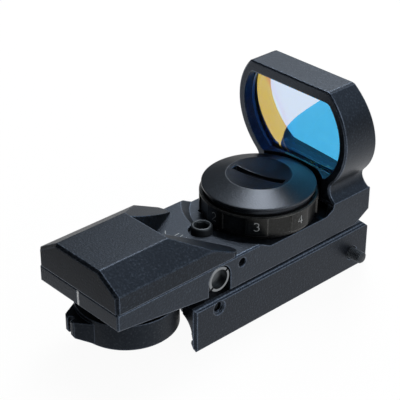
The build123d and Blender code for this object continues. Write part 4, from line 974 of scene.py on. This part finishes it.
class FINDER_OT_stage(Operator):
    """Set up the floor, the room light, the softboxes and the camera"""

    bl_idname = "finder.stage"
    bl_label = "Stage and camera"

    def execute(self, context):
        s = context.scene.finder_stage
        self.floor(s)
        self.room(context.scene, s)
        target = Vector(s.camera_target)
        # Each softbox's place, width and depth, in metres
        for name, place, width, depth, power in (
            ("top_softbox", (-0.15, 0.21, 0.53), 0.17, 0.42, s.top_power),
            ("back_softbox", (-0.36, 0.40, 0.36), 0.30, 0.30, s.back_power),
            ("side_softbox", (0.55, 0.05, 0.20), 0.36, 0.36, s.side_power),
        ):
            self.softbox(name, place, target, width, depth, power)
        camera_data = bpy.data.cameras.new("camera")
        camera_data.sensor_width = 36.0
        camera_data.lens = s.focal_mm
        camera_data.clip_start = 0.01
        camera_data.clip_end = 20.0
        camera = link("camera", camera_data)
        aim(camera, s.camera_place, target)
        context.scene.camera = camera
        context.scene.view_settings.view_transform = "Standard"
        return {"FINISHED"}

    def seen_directly(self, tree, *kinds):
        """1 for rays of the given kinds and 0 for all others."""
        rays = add(tree, "ShaderNodeLightPath")
        found = rays.outputs[kinds[0]]
        for kind in kinds[1:]:
            found = maths(tree, "MAXIMUM", found, rays.outputs[kind])
        return found

    def floor(self, s):
        """A wide pale floor that stays white to the eye and keeps the object's shadow.

        In mirrored rays it is white round the object and falls off with distance, most towards -Y.
        """
        half = 3.0
        corners = [(-half, -half, 0), (half, -half, 0), (half, half, 0), (-half, half, 0)]
        mesh = bpy.data.meshes.new("floor")
        mesh.from_pydata(corners, [], [(0, 1, 2, 3)])
        material, tree = new_material("Paper sweep, matt")
        seen = self.seen_directly(tree, "Is Camera Ray", "Is Glossy Ray", "Is Transmission Ray")
        plain = self.seen_directly(tree, "Is Camera Ray", "Is Transmission Ray")
        place = place_on(tree)
        along = add(tree, "ShaderNodeSeparateXYZ", {0: place}).outputs["Y"]
        away = vector_maths(tree, "LENGTH", place, result="Value")
        # Brightness at two distances in metres, from the middle and then along Y
        near = spread(tree, away, low=1.0, high=0.35, start=0.09, end=0.40, curve="SMOOTHSTEP")
        rear = spread(tree, along, low=0.12, high=1.0, start=-0.085, end=-0.03, curve="SMOOTHSTEP")
        front = spread(tree, along, low=1.0, high=0.6, start=0.03, end=0.11, curve="SMOOTHSTEP")
        pool = maths(tree, "MULTIPLY", near, maths(tree, "MULTIPLY", rear, front))
        level = maths(tree, "MAXIMUM", pool, plain)
        share = maths(tree, "MULTIPLY", seen, 1.0 - s.shadow)
        matt = add(tree, "ShaderNodeBsdfDiffuse", {"Color": (*s.floor_white, 1.0)})
        glow = add(tree, "ShaderNodeEmission", {"Color": (1.0, 1.0, 1.0, 1.0), "Strength": level})
        both = add(tree, "ShaderNodeMixShader", {0: share, 1: matt.outputs[0], 2: glow.outputs[0]})
        close(tree, both.outputs[0])
        mesh.materials.append(material)
        floor = link("floor", mesh)

    def room(self, scene, s):
        """A room that looks white to the eye, and gives most of its light from its far end.

        What it gives to mirrored rays is faintly blue.
        """
        dim_cosine, lit_cosine = 0.38, 0.76
        world = bpy.data.worlds.new("room")
        world.use_nodes = True
        tree = world.node_tree
        tree.nodes.clear()
        way = add(tree, "ShaderNodeTexCoord").outputs["Generated"]
        toward = vector_maths(tree, "DOT_PRODUCT", way, Vector(s.lit_way).normalized(), "Value")
        lit = spread(tree, toward, s.room_dim, s.room_light, dim_cosine, lit_cosine, "SMOOTHSTEP")
        mirrored = add(tree, "ShaderNodeBackground", {"Color": (*linear("#eaf5ff"), 1), "Strength": lit})
        gathered = add(tree, "ShaderNodeBackground", {"Color": (1, 1, 1, 1), "Strength": lit})
        shown = add(tree, "ShaderNodeBackground", {"Color": (1, 1, 1, 1), "Strength": 1.0})
        glossy = self.seen_directly(tree, "Is Glossy Ray")
        direct = self.seen_directly(tree, "Is Camera Ray", "Is Transmission Ray")
        first = add(tree, "ShaderNodeMixShader", {0: glossy, 1: gathered.outputs[0], 2: mirrored.outputs[0]})
        mixed = add(tree, "ShaderNodeMixShader", {0: direct, 1: first.outputs[0], 2: shown.outputs[0]})
        output = add(tree, "ShaderNodeOutputWorld")
        tree.links.new(mixed.outputs[0], output.inputs["Surface"])
        scene.world = world

    def softbox(self, name, place, target, width, depth, power):
        """A softbox: width across, depth along the way it is tilted."""
        data = bpy.data.lights.new(name, "AREA")
        data.shape = "RECTANGLE"
        data.size = width
        data.size_y = depth
        data.energy = power
        aim(link(name, data), place, target)


STEPS = (FINDER_OT_anodised, FINDER_OT_plain_metal, FINDER_OT_electrics, FINDER_OT_glass,
         FINDER_OT_dial_figures, FINDER_OT_ticks, FINDER_OT_clamp_screws, FINDER_OT_stage)
SETTINGS = {"finder_finish": FinishSettings, "finder_optics": OpticsSettings, "finder_figures": FigureSettings,
            "finder_threads": ThreadSettings, "finder_stage": StageSettings}


class FINDER_PT_panel(Panel):
    """Lists the finder's settings and steps"""

    bl_idname = "FINDER_PT_panel"
    bl_label = "Red dot finder"
    bl_space_type = "VIEW_3D"
    bl_region_type = "UI"
    bl_category = "Finder"

    def draw(self, context):
        for name, group in SETTINGS.items():
            box = self.layout.box()
            for field in group.__annotations__:
                box.prop(getattr(context.scene, name), field)
        for step in STEPS:
            self.layout.operator(step.bl_idname)


CLASSES = (*SETTINGS.values(), *STEPS, FINDER_PT_panel)


def register():
    for cls in CLASSES:
        bpy.utils.register_class(cls)
    for name, group in SETTINGS.items():
        setattr(bpy.types.Scene, name, PointerProperty(type=group))


def unregister():
    for name in SETTINGS:
        delattr(bpy.types.Scene, name)
    for cls in reversed(CLASSES):
        bpy.utils.unregister_class(cls)


def main():
    register()
    bpy.ops.finder.anodised()
    bpy.ops.finder.plain_metal()
    bpy.ops.finder.electrics()
    bpy.ops.finder.glass()
    bpy.ops.finder.dial_figures()
    bpy.ops.finder.ticks()
    bpy.ops.finder.clamp_screws()
    bpy.ops.finder.stage()


if __name__ == "__main__":
    main()
